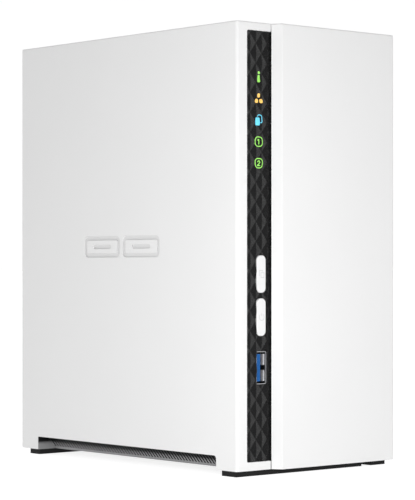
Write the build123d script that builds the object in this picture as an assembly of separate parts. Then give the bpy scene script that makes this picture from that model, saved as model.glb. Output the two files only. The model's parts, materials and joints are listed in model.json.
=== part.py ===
"""A two-bay desktop network storage box: a white tower with a black control strip.

Millimetres.  +X is right, +Y is back and +Z is up.  The origin is on the surface that the feet
stand on, under the middle of the case.
"""
from build123d import *
import math
import os

# ---------------------------------------------------------------- driving dimensions
WIDTH, DEPTH, HEIGHT = 90.2, 156.3, 188.8
WALL = 2.4                  # thickness of the two outer shells
FOOT_HEIGHT = 2.3           # the case hangs this far above the surface
FRONT_STEP = 3.8            # the front panel stands this far in front of the strip's frame
SEAM_OFFSET = 18.9          # from the left side to the seam between the shells
SEAM_GAP = 0.4
TRAVEL = 12.0               # how far the cover slides forward
CLEAR = 0.3                 # room between the cover and what it slides along

LEFT, RIGHT = -WIDTH / 2, WIDTH / 2
FRONT, REAR = -DEPTH / 2, DEPTH / 2
FRAME_FACE = FRONT + FRONT_STEP
SEAM = LEFT + SEAM_OFFSET
COVER_EDGE = SEAM + SEAM_GAP
PANEL_EDGE = COVER_EDGE + 2.75          # where the slanted wall meets the front panel
INNER_LEFT, INNER_RIGHT = LEFT + WALL, RIGHT - WALL
INNER_TOP = HEIGHT - WALL
INNER_FRONT = FRAME_FACE + WALL
LIP_BACK = INNER_FRONT - CLEAR          # back of the cover's slanted wall
FRONT_CORNER, RIGHT_CORNER, REAR_CORNER = 1.5, 2.8, 1.9
EDGE_ROUND = 0.6

# the control strip and what it carries
STRIP_LEFT = LEFT + 5.55
STRIP_RIGHT = COVER_EDGE + 0.4          # tucked behind the undercut edge of the cover
STRIP_BOTTOM, STRIP_TOP = FOOT_HEIGHT + 3.5, HEIGHT - 3.4
STRIP_FACE = FRAME_FACE + 0.6
STRIP_FLANGE = 1.2          # the strip's rim, which bears on the inside of the shell
STRIP_BACK = INNER_FRONT + STRIP_FLANGE
ICON_X = LEFT + 12.9
ICON_PITCH = 9.0
ICON_TOP = 166.2            # height of the uppermost icon's centre
ICON_Z = [ICON_TOP - ICON_PITCH * i for i in range(5)]
ICON_PROUD, ICON_DEPTH = 0.05, 0.8
BUTTON_X = LEFT + 14.0
BUTTON_WIDTH, BUTTON_LENGTH, BUTTON_CORNER = 4.9, 15.65, 2.05
COPY_BUTTON_Z, POWER_BUTTON_Z = 84.0, 66.0
BUTTON_FACE = STRIP_FACE - 0.35
BUTTON_GAP = 0.15
FRONT_USB_X, FRONT_USB_Z = LEFT + 14.75, 44.85

# the base and its vents
NOTCH_FRONT, NOTCH_REAR = FRONT + 16.9, FRONT + 142.6
NOTCH_TOP = 8.2
VENT_FOOT_IN, VENT_HEAD_IN = 9.4, 4.5   # how far in the slotted wall starts and ends
VENT_WALL = 1.4
SLOT_PITCH, SLOT_WIDTH = 1.97, 1.0
BASE_THICKNESS = 2.0
BASE_RIGHT = LEFT + 76.5                # the base ends here, and the cover's vent strip begins
FOOT_FRONT = (FRONT + 4.8, FRONT + 14.0)
FOOT_REAR = (FRONT + 142.0, FRONT + 149.4)
FOOT_CORNER = 0.25

# the back
PANEL_THICKNESS = 2.2
PANEL_FRONT = REAR - 1.05 - PANEL_THICKNESS
PANEL_BACK = PANEL_FRONT + PANEL_THICKNESS
FAN_X, FAN_Z = 5.0, 142.0
FAN_SIZE, FAN_DEPTH, FAN_HOLE_PITCH = 60.0, 25.0, 50.0
FAN_BORE, ROTOR_RADIUS, HUB_RADIUS = 28.4, 27.6, 14.5
SHAFT_RADIUS = 1.5

# the boards and drives
BOARD_THICKNESS = 1.6
BOARD_FACE = -34.1                      # component side of the mainboard
DRIVE_LENGTH, DRIVE_WIDTH, DRIVE_HEIGHT = 147.0, 101.6, 26.1
DRIVE_Z = 23.0
DRIVE_FRONT = -66.0
DRIVE_X = (-17.5, 12.4)
CAGE_SHEET = 1.0


# ---------------------------------------------------------------- shape helpers
def block(x, y, z):
    """A box given by its low and high ends along each axis."""
    centre = [(a + b) / 2 for a, b in (x, y, z)]
    return Pos(*centre) * Box(x[1] - x[0], y[1] - y[0], z[1] - z[0])


def around(centre, width):
    """The span of a given width about a centre."""
    return (centre - width / 2, centre + width / 2)


def rounded_block(x, y, z, radius, axis):
    """A box with the four edges along one axis rounded."""
    solid = block(x, y, z)
    return fillet(solid.edges().filter_by(axis), radius)


def rod_x(x, y, z, radius):
    return Pos((x[0] + x[1]) / 2, y, z) * Rot(0, 90, 0) * Cylinder(radius, x[1] - x[0])


def rod_y(x, y, z, radius):
    return Pos(x, (y[0] + y[1]) / 2, z) * Rot(90, 0, 0) * Cylinder(radius, y[1] - y[0])


def rod_z(x, y, z, radius):
    return Pos(x, y, (z[0] + z[1]) / 2) * Cylinder(radius, z[1] - z[0])


def on_front(sketch, x, z, y):
    """Solid from a sketch that faces the front, filling the span y."""
    plane = Plane(origin=(x, y[1], z), x_dir=(1, 0, 0), z_dir=(0, -1, 0))
    return extrude(plane * sketch, y[1] - y[0])


def on_side(sketch, y, z, x):
    """Solid from a sketch that lies along Y and Z, filling the span x."""
    plane = Plane(origin=(x[0], y, z), x_dir=(0, 1, 0), z_dir=(1, 0, 0))
    return extrude(plane * sketch, x[1] - x[0])


def grown(span, by):
    return (span[0] - by, span[1] + by)


def edges_at(solid, axis, x=None, y=None, z=None):
    """Straight edges along an axis whose middle has the given coordinates."""
    def fits(edge):
        middle = edge.center()
        pairs = ((middle.X, x), (middle.Y, y), (middle.Z, z))
        return all(want is None or abs(have - want) < 0.01 for have, want in pairs)
    return [edge for edge in solid.edges().filter_by(axis) if fits(edge)]


def rim_edges(solid, z, x_limit, side):
    """Edges in the plane at height z on one side of x_limit (side is -1 for left, 1 for right)."""
    found = []
    for edge in solid.edges():
        flat = all(abs(vertex.Z - z) < 0.01 for vertex in edge.vertices())
        if flat and (edge.center().X - x_limit) * side > 0.01:
            found.append(edge)
    return found


def stroke(points, width):
    """A flat line of a given width through points, with round ends."""
    shape = Sketch()
    for start, end in zip(points, points[1:]):
        length = math.dist(start, end)
        angle = math.degrees(math.atan2(end[1] - start[1], end[0] - start[0]))
        middle = ((start[0] + end[0]) / 2, (start[1] + end[1]) / 2)
        shape += Pos(*middle) * Rot(0, 0, angle) * SlotCenterToCenter(length, width)
    return shape


# ---------------------------------------------------------------- outer shells
MARK_Y, MARK_Z = FRONT + 80.5, 95.9
MARK_WIDTH, MARK_HEIGHT, MARK_DEPTH, MARK_LINE = 25.5, 9.5, 0.5, 1.9
LIP_REACH, LIP_THICKNESS = 3.7, 1.8
HOOK_Y, HOOK_LENGTH = (-40.0, 30.0), 10.0
BOARD_SCREWS = ((-56.0, 66.0), (-56.0, 118.0), (48.0, 20.0), (48.0, 118.0))
BOARD_BACK = BOARD_FACE - BOARD_THICKNESS
PANEL_SCREWS = ((-38.8, 20.0), (-38.8, 178.0))
SCREW_SHANK, SCREW_HOLE, BOSS_RADIUS = 1.25, 1.3, 3.0
REAR_SCREW_LENGTH = 7.5
LUGS = ((39.5, 60.0), (-14.0, 181.5))   # cover screws, as X and Z
LUG_THICKNESS = 3.0


def bay_mark():
    """Two plain outlined drive bays side by side, each with a bar."""
    mark = Sketch()
    for side in (-1, 1):
        frame = RectangleRounded(MARK_WIDTH, MARK_HEIGHT, 2.4)
        frame -= RectangleRounded(MARK_WIDTH - 2 * MARK_LINE, MARK_HEIGHT - 2 * MARK_LINE, 0.9)
        bar = SlotOverall(MARK_WIDTH / 2, MARK_LINE)
        mark += Pos(side * (MARK_WIDTH / 2 + 1.0), 0) * (frame + bar)
    return mark


def left_shell():
    shell = block((LEFT, SEAM), (FRAME_FACE, REAR), (FOOT_HEIGHT, HEIGHT))
    shell = fillet(edges_at(shell, Axis.Z, x=LEFT, y=FRAME_FACE), FRONT_CORNER)
    shell = fillet(edges_at(shell, Axis.Z, x=LEFT, y=REAR), REAR_CORNER)
    shell = fillet(rim_edges(shell, HEIGHT, SEAM, -1), EDGE_ROUND)
    shell -= block((INNER_LEFT, SEAM + 1), (INNER_FRONT, REAR + 1), (0, INNER_TOP))

    window = block((STRIP_LEFT, SEAM + 1), (FRAME_FACE - 1, INNER_FRONT + 1), (STRIP_BOTTOM, STRIP_TOP))
    shell -= fillet(edges_at(window, Axis.Y, x=STRIP_LEFT), 0.8)

    notch = block((LEFT - 1, INNER_LEFT + 1), (NOTCH_FRONT, NOTCH_REAR), (0, NOTCH_TOP))
    shell -= fillet(edges_at(notch, Axis.X, y=NOTCH_FRONT, z=NOTCH_TOP), 1.5)

    lip_top = INNER_TOP - CLEAR
    lip_bottom = lip_top - LIP_THICKNESS
    root = block((SEAM - 4, SEAM), (STRIP_BACK, PANEL_FRONT), (lip_bottom, INNER_TOP))
    lip = block((SEAM, SEAM + LIP_REACH), (STRIP_BACK, PANEL_FRONT), (lip_bottom, lip_top))
    for y in HOOK_Y:
        lip -= block((SEAM, SEAM + 9), (y - TRAVEL - 1, y - 1), (lip_bottom - 1, lip_top + 1))
    shell += root + lip

    for y, z in BOARD_SCREWS:
        shell += rod_x((INNER_LEFT - 0.5, BOARD_BACK), y, z, BOSS_RADIUS)
        shell -= rod_x((INNER_LEFT + 1, BOARD_BACK + 1), y, z, SCREW_HOLE)
    for x, z in PANEL_SCREWS:
        web = block((INNER_LEFT - 0.5, x), (60.0, PANEL_FRONT), around(z, 2.0))
        shell += rod_y(x, (60.0, PANEL_FRONT), z, BOSS_RADIUS) + web
        shell -= rod_y(x, (62.0, PANEL_FRONT + 1), z, SCREW_HOLE)

    shell -= on_side(bay_mark(), MARK_Y, MARK_Z, (LEFT - 0.5, LEFT + MARK_DEPTH))
    return shell


def cover():
    """Front panel, right side and most of the top in one shell, open at the bottom and back."""
    outline = Polyline(
        (COVER_EDGE, FRAME_FACE), (PANEL_EDGE, FRONT), (RIGHT, FRONT), (RIGHT, REAR), (COVER_EDGE, REAR),
        close=True)
    shell = extrude(Pos(0, 0, FOOT_HEIGHT) * make_face(outline), HEIGHT - FOOT_HEIGHT)
    shell = fillet(edges_at(shell, Axis.Z, x=PANEL_EDGE, y=FRONT), 0.9)
    shell = fillet(edges_at(shell, Axis.Z, x=RIGHT, y=FRONT), RIGHT_CORNER)
    shell = fillet(edges_at(shell, Axis.Z, x=RIGHT, y=REAR), REAR_CORNER)
    shell = fillet(rim_edges(shell, HEIGHT, COVER_EDGE, 1), EDGE_ROUND)

    inner_front = FRONT + WALL
    undercut = LIP_BACK - FRAME_FACE
    hollow = Polyline(
        (COVER_EDGE - 1, FRAME_FACE - 1), (COVER_EDGE + undercut, LIP_BACK),
        (COVER_EDGE + undercut + 0.1, LIP_BACK), (PANEL_EDGE + 1.7, inner_front),
        (INNER_RIGHT, inner_front), (INNER_RIGHT, REAR + 1), (COVER_EDGE - 1, REAR + 1), close=True)
    shell -= extrude(make_face(hollow), INNER_TOP)

    notch = block((INNER_RIGHT - 1, RIGHT + 1), (NOTCH_FRONT, NOTCH_REAR), (0, NOTCH_TOP))
    shell -= fillet(edges_at(notch, Axis.X, y=NOTCH_FRONT, z=NOTCH_TOP), 1.5)

    lip_bottom = INNER_TOP - CLEAR - LIP_THICKNESS
    hook_x = SEAM + LIP_REACH + CLEAR
    for y in HOOK_Y:
        hook = block((hook_x, hook_x + 2), (y, y + HOOK_LENGTH), (lip_bottom - 2.0, INNER_TOP + 0.5))
        toe = block((hook_x - 2.5, hook_x), (y, y + HOOK_LENGTH), (lip_bottom - 2.0, lip_bottom - 0.4))
        shell += hook + toe

    lug_span = (PANEL_FRONT - CLEAR - LUG_THICKNESS, PANEL_FRONT - CLEAR)
    for x, z in LUGS:
        on_side_wall = x > 0
        x_span = (x - 4, INNER_RIGHT + 0.5) if on_side_wall else around(x, 8)
        z_span = around(z, 9) if on_side_wall else (z - 4, INNER_TOP + 0.5)
        shell += block(x_span, lug_span, z_span)
        shell -= rod_y(x, grown(lug_span, 1), z, 1.9)
    return shell


# ---------------------------------------------------------------- base, vents and feet
def vent_profile(side):
    """The slanted wall of the vent and the ledge above it, as a section in the XZ plane."""
    edge = LEFT if side < 0 else RIGHT
    inward = -side
    foot, head = edge + inward * VENT_FOOT_IN, edge + inward * VENT_HEAD_IN
    ledge_end = edge + inward * (WALL + 0.1)
    floor_end = foot + inward * 3
    thick = inward * VENT_WALL
    top = NOTCH_TOP + 1.4
    points = [
        (foot, FOOT_HEIGHT), (head, NOTCH_TOP), (ledge_end, NOTCH_TOP), (ledge_end, top),
        (head + thick, top), (foot + thick, FOOT_HEIGHT + BASE_THICKNESS),
        (floor_end, FOOT_HEIGHT + BASE_THICKNESS), (floor_end, FOOT_HEIGHT)]
    section = make_face(Polyline(*points, close=True))
    plane = Plane(origin=(0, NOTCH_REAR, 0), x_dir=(1, 0, 0), z_dir=(0, -1, 0))
    return extrude(plane * section, NOTCH_REAR - NOTCH_FRONT)


def vent_slots(side):
    """The row of fine slots through the slanted wall."""
    edge = LEFT if side < 0 else RIGHT
    middle_in = (VENT_FOOT_IN + VENT_HEAD_IN) / 2
    rise, run = NOTCH_TOP - FOOT_HEIGHT, VENT_FOOT_IN - VENT_HEAD_IN
    slant = math.degrees(math.atan2(run, rise))
    length = math.hypot(rise, run) - 2.6
    count = int((NOTCH_REAR - NOTCH_FRONT - 3) / SLOT_PITCH)
    first = (NOTCH_FRONT + NOTCH_REAR - (count - 1) * SLOT_PITCH) / 2
    centre = (edge - side * middle_in, 0, (FOOT_HEIGHT + NOTCH_TOP) / 2 + 0.3)
    slots = []
    for i in range(count):
        place = Pos(centre[0], first + i * SLOT_PITCH, centre[2]) * Rot(0, side * slant, 0)
        slots.append(place * Box(4 * VENT_WALL, SLOT_WIDTH, length))
    return slots


def end_walls(side):
    """Walls that close the vent channel at the legs, with a lining over the back leg's end."""
    edge = LEFT if side < 0 else RIGHT
    inner_x = edge - side * (VENT_FOOT_IN + 3)
    x = sorted((edge - side * (WALL + 0.1), inner_x))
    z = (FOOT_HEIGHT, NOTCH_TOP + 1.4)
    walls = block(x, (NOTCH_FRONT - 1.5, NOTCH_FRONT), z) + block(x, (NOTCH_REAR - 0.5, NOTCH_REAR + 1.5), z)
    lining_x = sorted((edge - side * 0.1, inner_x))
    return walls + block(lining_x, (NOTCH_REAR - 0.8, NOTCH_REAR - 0.05), (FOOT_HEIGHT, NOTCH_TOP - 0.1))


CAGE_BOSSES = ((-14.0, -62.0), (26.0, -62.0), (-14.0, 31.5), (26.0, 31.5))
BACKPLANE_POSTS = ((-10.0, -26.5), (24.0, -26.5))
CAGE_FLOOR = 10.0
BACKPLANE_Z = 12.0
SECURITY_SLOT = (20.0, 14.0, 7.0, 3.0)  # X, Z, width and height
FLOOR_VENT_Y = (-28.0, 10.0)
FLOOR_VENT_X = [-22.0 + 4.2 * i for i in range(12)]


def base_pan():
    floor_z = (FOOT_HEIGHT, FOOT_HEIGHT + BASE_THICKNESS)
    left = INNER_LEFT + 0.1
    pan = block((left, BASE_RIGHT), (INNER_FRONT + 0.1, PANEL_FRONT), floor_z)
    pan += block((-21.0, BASE_RIGHT), (INNER_FRONT - 1.9, INNER_FRONT + 0.2), floor_z)
    channel = block((LEFT, LEFT + VENT_FOOT_IN), (NOTCH_FRONT, NOTCH_REAR), (0, NOTCH_TOP))
    pan -= channel
    pan += vent_profile(-1) + end_walls(-1)
    pan -= vent_slots(-1)
    for x, y in CAGE_BOSSES:
        pan += rod_z(x, y, (floor_z[1] - 0.5, CAGE_FLOOR), BOSS_RADIUS)
        pan -= rod_z(x, y, (floor_z[0] + 1, CAGE_FLOOR + 1), SCREW_HOLE)
    for x, y in BACKPLANE_POSTS:
        pan += rod_z(x, y, (floor_z[1] - 0.5, BACKPLANE_Z), BOSS_RADIUS)
        pan -= rod_z(x, y, (floor_z[0] + 1, BACKPLANE_Z + 1), SCREW_HOLE)
    slot = extrude(SlotOverall(24, 1.8, rotation=90), 3 * BASE_THICKNESS, both=True)
    for row_y in FLOOR_VENT_Y:
        pan -= [Pos(x, row_y, floor_z[0]) * slot for x in FLOOR_VENT_X]
    return pan


def cover_vent_strip():
    """The bottom rim of the cover, with the right-hand slotted wall."""
    floor_z = (FOOT_HEIGHT, FOOT_HEIGHT + BASE_THICKNESS)
    right = INNER_RIGHT - 0.1
    y_span = (FRONT + WALL + 0.1, PANEL_FRONT - CLEAR)
    rim = block((BASE_RIGHT + CLEAR, right), y_span, floor_z)
    rim -= block((RIGHT - VENT_FOOT_IN, RIGHT), (NOTCH_FRONT, NOTCH_REAR), (0, NOTCH_TOP))
    rim += vent_profile(1) + end_walls(1)
    return rim - vent_slots(1)


def foot_bar(y_span):
    return rounded_block((LEFT + 0.5, LEFT + 73.8), y_span, (0, FOOT_HEIGHT), FOOT_CORNER, Axis.Z)


def cover_feet():
    x, z = (LEFT + 79.4, LEFT + 88.3), (0, FOOT_HEIGHT)
    return Part() + [rounded_block(x, y, z, FOOT_CORNER, Axis.Z) for y in (FOOT_FRONT, FOOT_REAR)]


# ---------------------------------------------------------------- control strip, icons and buttons
USB_WIDTH, USB_LENGTH, USB_DEPTH, USB_SHEET = 5.7, 13.7, 17.0, 0.3
TONGUE_IN, TONGUE_THICKNESS, TONGUE_LENGTH, TONGUE_RECESS = 0.6, 1.9, 11.4, 0.6
LED_BOARD_FRONT = -65.0
BUTTON_TRAVEL_ROOM = 0.1
PLUNGER_RADIUS = 1.6


def status_icon():
    """A dot above a bar."""
    return Pos(0, 1.75) * RectangleRounded(1.3, 1.1, 0.4) + Pos(0, -0.75) * RectangleRounded(1.3, 3.0, 0.4)


def network_icon():
    """Three rounded dots, one above two."""
    icon = Sketch()
    for x, y in ((0, 1.25), (-1.15, -1.05), (1.15, -1.05)):
        icon += Pos(x, y) * RectangleRounded(1.65, 1.7, 0.6)
    return icon


def copy_icon():
    """A filled sheet in front of an outlined one."""
    behind = Pos(0.5, 0.5) * (RectangleRounded(2.7, 3.6, 0.9) - RectangleRounded(2.0, 2.9, 0.55))
    place = Pos(-0.6, -0.6)
    return behind - place * RectangleRounded(2.9, 3.9, 0.7) + place * RectangleRounded(2.3, 3.3, 0.4)


def bay_icon(strokes):
    """A round-cornered outline with a digit made of strokes."""
    outline = RectangleRounded(4.1, 4.3, 1.5) - RectangleRounded(3.3, 3.5, 1.1)
    return outline + stroke(strokes, 0.42)


DIGIT_ONE = ((-0.45, 0.65), (0.05, 0.95), (0.05, -1.0))
DIGIT_TWO = ((-0.55, 0.55), (-0.2, 0.95), (0.35, 0.9), (0.55, 0.4), (0.2, -0.15), (-0.6, -0.95), (0.6, -0.95))


def icons():
    """The five lit signs from the top down."""
    return (status_icon(), network_icon(), copy_icon(), bay_icon(DIGIT_ONE), bay_icon(DIGIT_TWO))


def status_light(icon, z):
    """Thin clear inlay in the icon's shape, and the light pipe behind the strip."""
    inlay = on_front(icon, ICON_X, z, (STRIP_FACE - ICON_PROUD, STRIP_FACE + ICON_DEPTH))
    return inlay + block(around(ICON_X, 5.2), (STRIP_BACK, LED_BOARD_FRONT - 1.3), around(z, 5.4))


def pill(grow=0.0):
    return RectangleRounded(BUTTON_WIDTH + 2 * grow, BUTTON_LENGTH + 2 * grow, BUTTON_CORNER + grow)


def control_strip():
    edge, z = STRIP_LEFT + 0.05, grown((STRIP_BOTTOM, STRIP_TOP), -0.05)
    plate = block((edge, STRIP_RIGHT), (STRIP_FACE, STRIP_BACK), z)
    plate = fillet(edges_at(plate, Axis.Y, x=edge), 0.75)
    flange_z = (FOOT_HEIGHT + BASE_THICKNESS + 0.2, INNER_TOP - CLEAR)
    plate += block((STRIP_LEFT - 2, SEAM + 3.9), (INNER_FRONT, STRIP_BACK), flange_z)
    through = (STRIP_FACE - 1, STRIP_BACK + 1)
    for z in (COPY_BUTTON_Z, POWER_BUTTON_Z):
        plate -= on_front(pill(BUTTON_GAP), BUTTON_X, z, through)
    plate -= block(around(FRONT_USB_X, USB_WIDTH + 0.2), through, around(FRONT_USB_Z, USB_LENGTH + 0.2))
    for icon, z in zip(icons(), ICON_Z):
        plate -= on_front(icon, ICON_X, z, (STRIP_FACE - 1, STRIP_FACE + ICON_DEPTH))
    return plate + strip_posts()


def strip_posts():
    """Two moulded posts that carry the front board on their staked tips."""
    posts = Part()
    for x, z in STRIP_POSTS:
        posts += rod_y(x, (STRIP_BACK - 0.5, LED_BOARD_FRONT), z, 2.2)
        posts += rod_y(x, (LED_BOARD_FRONT, LED_BOARD_FRONT + BOARD_THICKNESS), z, POST_TIP_RADIUS)
    return posts


def push_button(z):
    """Pill cap, a flange that bears on the back of the strip, and a stem for the switch."""
    flange_front = STRIP_BACK + BUTTON_TRAVEL_ROOM
    cap = on_front(pill(), BUTTON_X, z, (BUTTON_FACE, flange_front))
    front_rim = [edge for edge in cap.edges() if abs(edge.center().Y - BUTTON_FACE) < 0.01]
    cap = fillet(front_rim, 0.45)
    flange = on_front(pill(0.9), BUTTON_X, z, (flange_front, flange_front + 0.8))
    stem = rod_y(BUTTON_X, (flange_front + 0.8, LED_BOARD_FRONT - 4.5), z, 2.0)
    return cap + flange + stem


def switch_plunger(z):
    return rod_y(BUTTON_X, (LED_BOARD_FRONT - 4.5, LED_BOARD_FRONT - 2.2), z, PLUNGER_RADIUS)


def front_switches():
    """The two push switches behind the buttons, each with an open bore for its plunger."""
    bodies = Part()
    for z in (COPY_BUTTON_Z, POWER_BUTTON_Z):
        body = block(around(BUTTON_X, 6), (LED_BOARD_FRONT - 3.4, LED_BOARD_FRONT), around(z, 6))
        bore_y = (LED_BOARD_FRONT - 4, LED_BOARD_FRONT - 1.4)
        bodies += body - rod_y(BUTTON_X, bore_y, z, PLUNGER_RADIUS + 0.1)
    return bodies


LED_BOARD_X = (-41.5, -24.5)
STRIP_POSTS = ((-39.0, 108.0), (-27.0, 108.0))
POST_TIP_RADIUS = 1.2


def front_board():
    board = block(LED_BOARD_X, (LED_BOARD_FRONT, LED_BOARD_FRONT + BOARD_THICKNESS), (54.5, 172.0))
    for x, z in STRIP_POSTS:
        board -= rod_y(x, (LED_BOARD_FRONT - 1, LED_BOARD_FRONT + 3), z, POST_TIP_RADIUS + 0.1)
    return board


def status_leds():
    leds = Part()
    for z in ICON_Z:
        leds += block(around(ICON_X, 3.2), (LED_BOARD_FRONT - 1.2, LED_BOARD_FRONT), around(z, 1.8))
    return leds


def light_shield():
    """Black comb that keeps each light pipe's light to itself."""
    y = grown((STRIP_BACK, LED_BOARD_FRONT), -0.05)
    shield = block(around(ICON_X, 8.0), y, grown((ICON_Z[-1], ICON_Z[0]), 5))
    for z in ICON_Z:
        shield -= block(around(ICON_X, 5.3), (STRIP_BACK - 1, LED_BOARD_FRONT + 1), around(z, 5.5))
    return shield


# ---------------------------------------------------------------- sockets
def usb_shell(x, z, y_mouth, inward):
    """Upright metal shell of a USB type A socket; inward is +1 from the front and -1 from the back."""
    y = sorted((y_mouth, y_mouth + inward * USB_DEPTH))
    hollow = sorted((y_mouth - inward, y_mouth + inward * (USB_DEPTH - 0.5)))
    shell = rounded_block(around(x, USB_WIDTH), y, around(z, USB_LENGTH), 0.6, Axis.Y)
    return shell - block(around(x, USB_WIDTH - 2 * USB_SHEET), hollow, around(z, USB_LENGTH - 2 * USB_SHEET))


def usb_tongue(x, z, y_mouth, inward):
    """Plastic tongue with its contacts' carrier at the back of the shell."""
    back = y_mouth + inward * (USB_DEPTH - 0.5)
    tongue = sorted((y_mouth + inward * TONGUE_RECESS, back))
    carrier = sorted((back - inward * 5.0, back))
    inner = (x - USB_WIDTH / 2 + USB_SHEET, x + USB_WIDTH / 2 - USB_SHEET)
    blade_x = (inner[0] + TONGUE_IN, inner[0] + TONGUE_IN + TONGUE_THICKNESS)
    blade = block(blade_x, tongue, around(z, TONGUE_LENGTH))
    return blade + block(inner, carrier, around(z, USB_LENGTH - 2 * USB_SHEET))


FRONT_USB_MOUTH = STRIP_FACE + 0.8
REAR_MOUTH = PANEL_BACK - 0.4
REAR_USB_X = BOARD_FACE + 0.05 + USB_WIDTH / 2
REAR_USB_Z = (72.0, 53.0)
JACK_X, JACK_Y, JACK_Z = (BOARD_FACE, BOARD_FACE + 13.4), (REAR_MOUTH - 21.0, REAR_MOUTH), (86.5, 102.5)
JACK_MOUTH_X, JACK_MOUTH_Z = (BOARD_FACE + 3.2, BOARD_FACE + 11.4), (88.6, 100.4)
JACK_HOLLOW = 14.0
POWER_X, POWER_Z = BOARD_FACE + 6.5, 33.0
POWER_BORE, POWER_PIN = 3.15, 1.2
RESET_X, RESET_Z = BOARD_FACE + 2.5, 110.0


def network_jack_shield():
    """Sheet metal can, open at the mouth."""
    can = block(JACK_X, JACK_Y, JACK_Z)
    return can - block(grown(JACK_X, -0.4), (JACK_Y[0] + 0.4, JACK_Y[1] + 1), grown(JACK_Z, -0.4))


def network_jack_body():
    """Moulded body inside the can, with the stepped mouth for the plug and its latch."""
    body = block(grown(JACK_X, -0.4), (JACK_Y[0] + 0.4, JACK_Y[1] - 0.3), grown(JACK_Z, -0.4))
    hollow_y = (JACK_Y[1] - JACK_HOLLOW, JACK_Y[1] + 1)
    body -= block(JACK_MOUTH_X, hollow_y, JACK_MOUTH_Z)
    latch_z = around((JACK_Z[0] + JACK_Z[1]) / 2, 6.0)
    return body - block((JACK_MOUTH_X[0] - 1.6, JACK_MOUTH_X[0] + 0.5), hollow_y, latch_z)


def network_contacts():
    """Eight spring contacts along the far side of the hollow."""
    contacts = Part()
    middle = (JACK_Z[0] + JACK_Z[1]) / 2
    x, y = (JACK_MOUTH_X[1] - 1.2, JACK_MOUTH_X[1]), (JACK_Y[1] - JACK_HOLLOW, JACK_Y[1] - 4)
    for i in range(8):
        contacts += block(x, y, around(middle + (i - 3.5) * 1.02, 0.4))
    return contacts


def power_inlet():
    y = (REAR_MOUTH - 14.0, REAR_MOUTH)
    body = block((BOARD_FACE, BOARD_FACE + 11), y, around(POWER_Z, 9.4))
    return body - rod_y(POWER_X, (y[0] + 4, y[1] + 1), POWER_Z, POWER_BORE)


def power_inlet_pin():
    return rod_y(POWER_X, (REAR_MOUTH - 10.0, REAR_MOUTH - 0.8), POWER_Z, POWER_PIN)


RESET_SWITCH_Y = (64.0, 69.0)


def reset_switch():
    body = block((BOARD_FACE, BOARD_FACE + 5), RESET_SWITCH_Y, around(RESET_Z, 6))
    return body - rod_y(RESET_X, (RESET_SWITCH_Y[1] - 2.6, RESET_SWITCH_Y[1] + 1), RESET_Z, 1.3)


def reset_button():
    return rod_y(RESET_X, (RESET_SWITCH_Y[1] - 1.8, PANEL_FRONT - 0.5), RESET_Z, 1.2)


# ---------------------------------------------------------------- back panel and fan
GRILLE_HOLE, GRILLE_PITCH, GRILLE_RADIUS = 4.3, 5.2, 27.8
LOW_VENT_X, LOW_VENT_Z, LOW_VENT_PITCH = (4.0, 23.0), 30.0, 5.2


def grille_holes():
    """Centres of a triangular pattern of holes inside a circle."""
    row_step = GRILLE_PITCH * math.sqrt(3) / 2
    rows = int(GRILLE_RADIUS / row_step)
    limit = GRILLE_RADIUS - GRILLE_HOLE / 2
    centres = []
    for row in range(-rows, rows + 1):
        shift = GRILLE_PITCH / 2 if row % 2 else 0
        for column in range(-rows - 2, rows + 3):
            x, z = column * GRILLE_PITCH + shift, row * row_step
            if math.hypot(x, z) <= limit:
                centres.append((x, z))
    return centres


def fan_corners(size=FAN_HOLE_PITCH):
    return [(FAN_X + a * size / 2, FAN_Z + b * size / 2) for a in (-1, 1) for b in (-1, 1)]


def rear_panel():
    through = (PANEL_FRONT - 1, PANEL_BACK + 1)
    panel_x = (INNER_LEFT + CLEAR, INNER_RIGHT - CLEAR - 0.1)
    panel = block(panel_x, (PANEL_FRONT, PANEL_BACK), (FOOT_HEIGHT, INNER_TOP - CLEAR))
    panel = fillet(edges_at(panel, Axis.Y, z=INNER_TOP - CLEAR), 1.5)
    plane = Plane(origin=(FAN_X, through[1], FAN_Z), x_dir=(1, 0, 0), z_dir=(0, -1, 0))
    hole = RegularPolygon(GRILLE_HOLE / 2, 6, rotation=30)
    holes = Sketch() + [Pos(x, z) * hole for x, z in grille_holes()]
    panel -= extrude(plane * holes, through[1] - through[0])
    for x, z in fan_corners():
        panel -= rod_y(x, through, z, 2.2)
        cone = Cone(2.2, 3.9, 1.7)
        panel -= Pos(x, PANEL_BACK - 0.85, z) * Rot(-90, 0, 0) * cone
    for x, z in LUGS + PANEL_SCREWS:
        panel -= rod_y(x, through, z, 1.7)
    panel -= block(grown(JACK_X, 0.2), through, grown(JACK_Z, 0.2))
    for z in REAR_USB_Z:
        panel -= block(around(REAR_USB_X, USB_WIDTH + 0.4), through, around(z, USB_LENGTH + 0.4))
    panel -= block((BOARD_FACE - 0.2, BOARD_FACE + 11.2), through, around(POWER_Z, 9.8))
    panel -= rod_y(RESET_X, through, RESET_Z, 1.0)
    x, z, width, height = SECURITY_SLOT
    panel -= on_front(SlotOverall(width, height), x, z, through)
    for row in range(6):
        for vent_x in LOW_VENT_X:
            panel -= on_front(SlotOverall(16, 2.0), vent_x, LOW_VENT_Z + row * LOW_VENT_PITCH, through)
    return panel


FAN_Y = (PANEL_FRONT - FAN_DEPTH, PANEL_FRONT)
ROTOR_Y = (FAN_Y[0] + 1.5, FAN_Y[1] - 5.5)
STATOR_PLATE = FAN_Y[1] - 4.0


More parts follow.
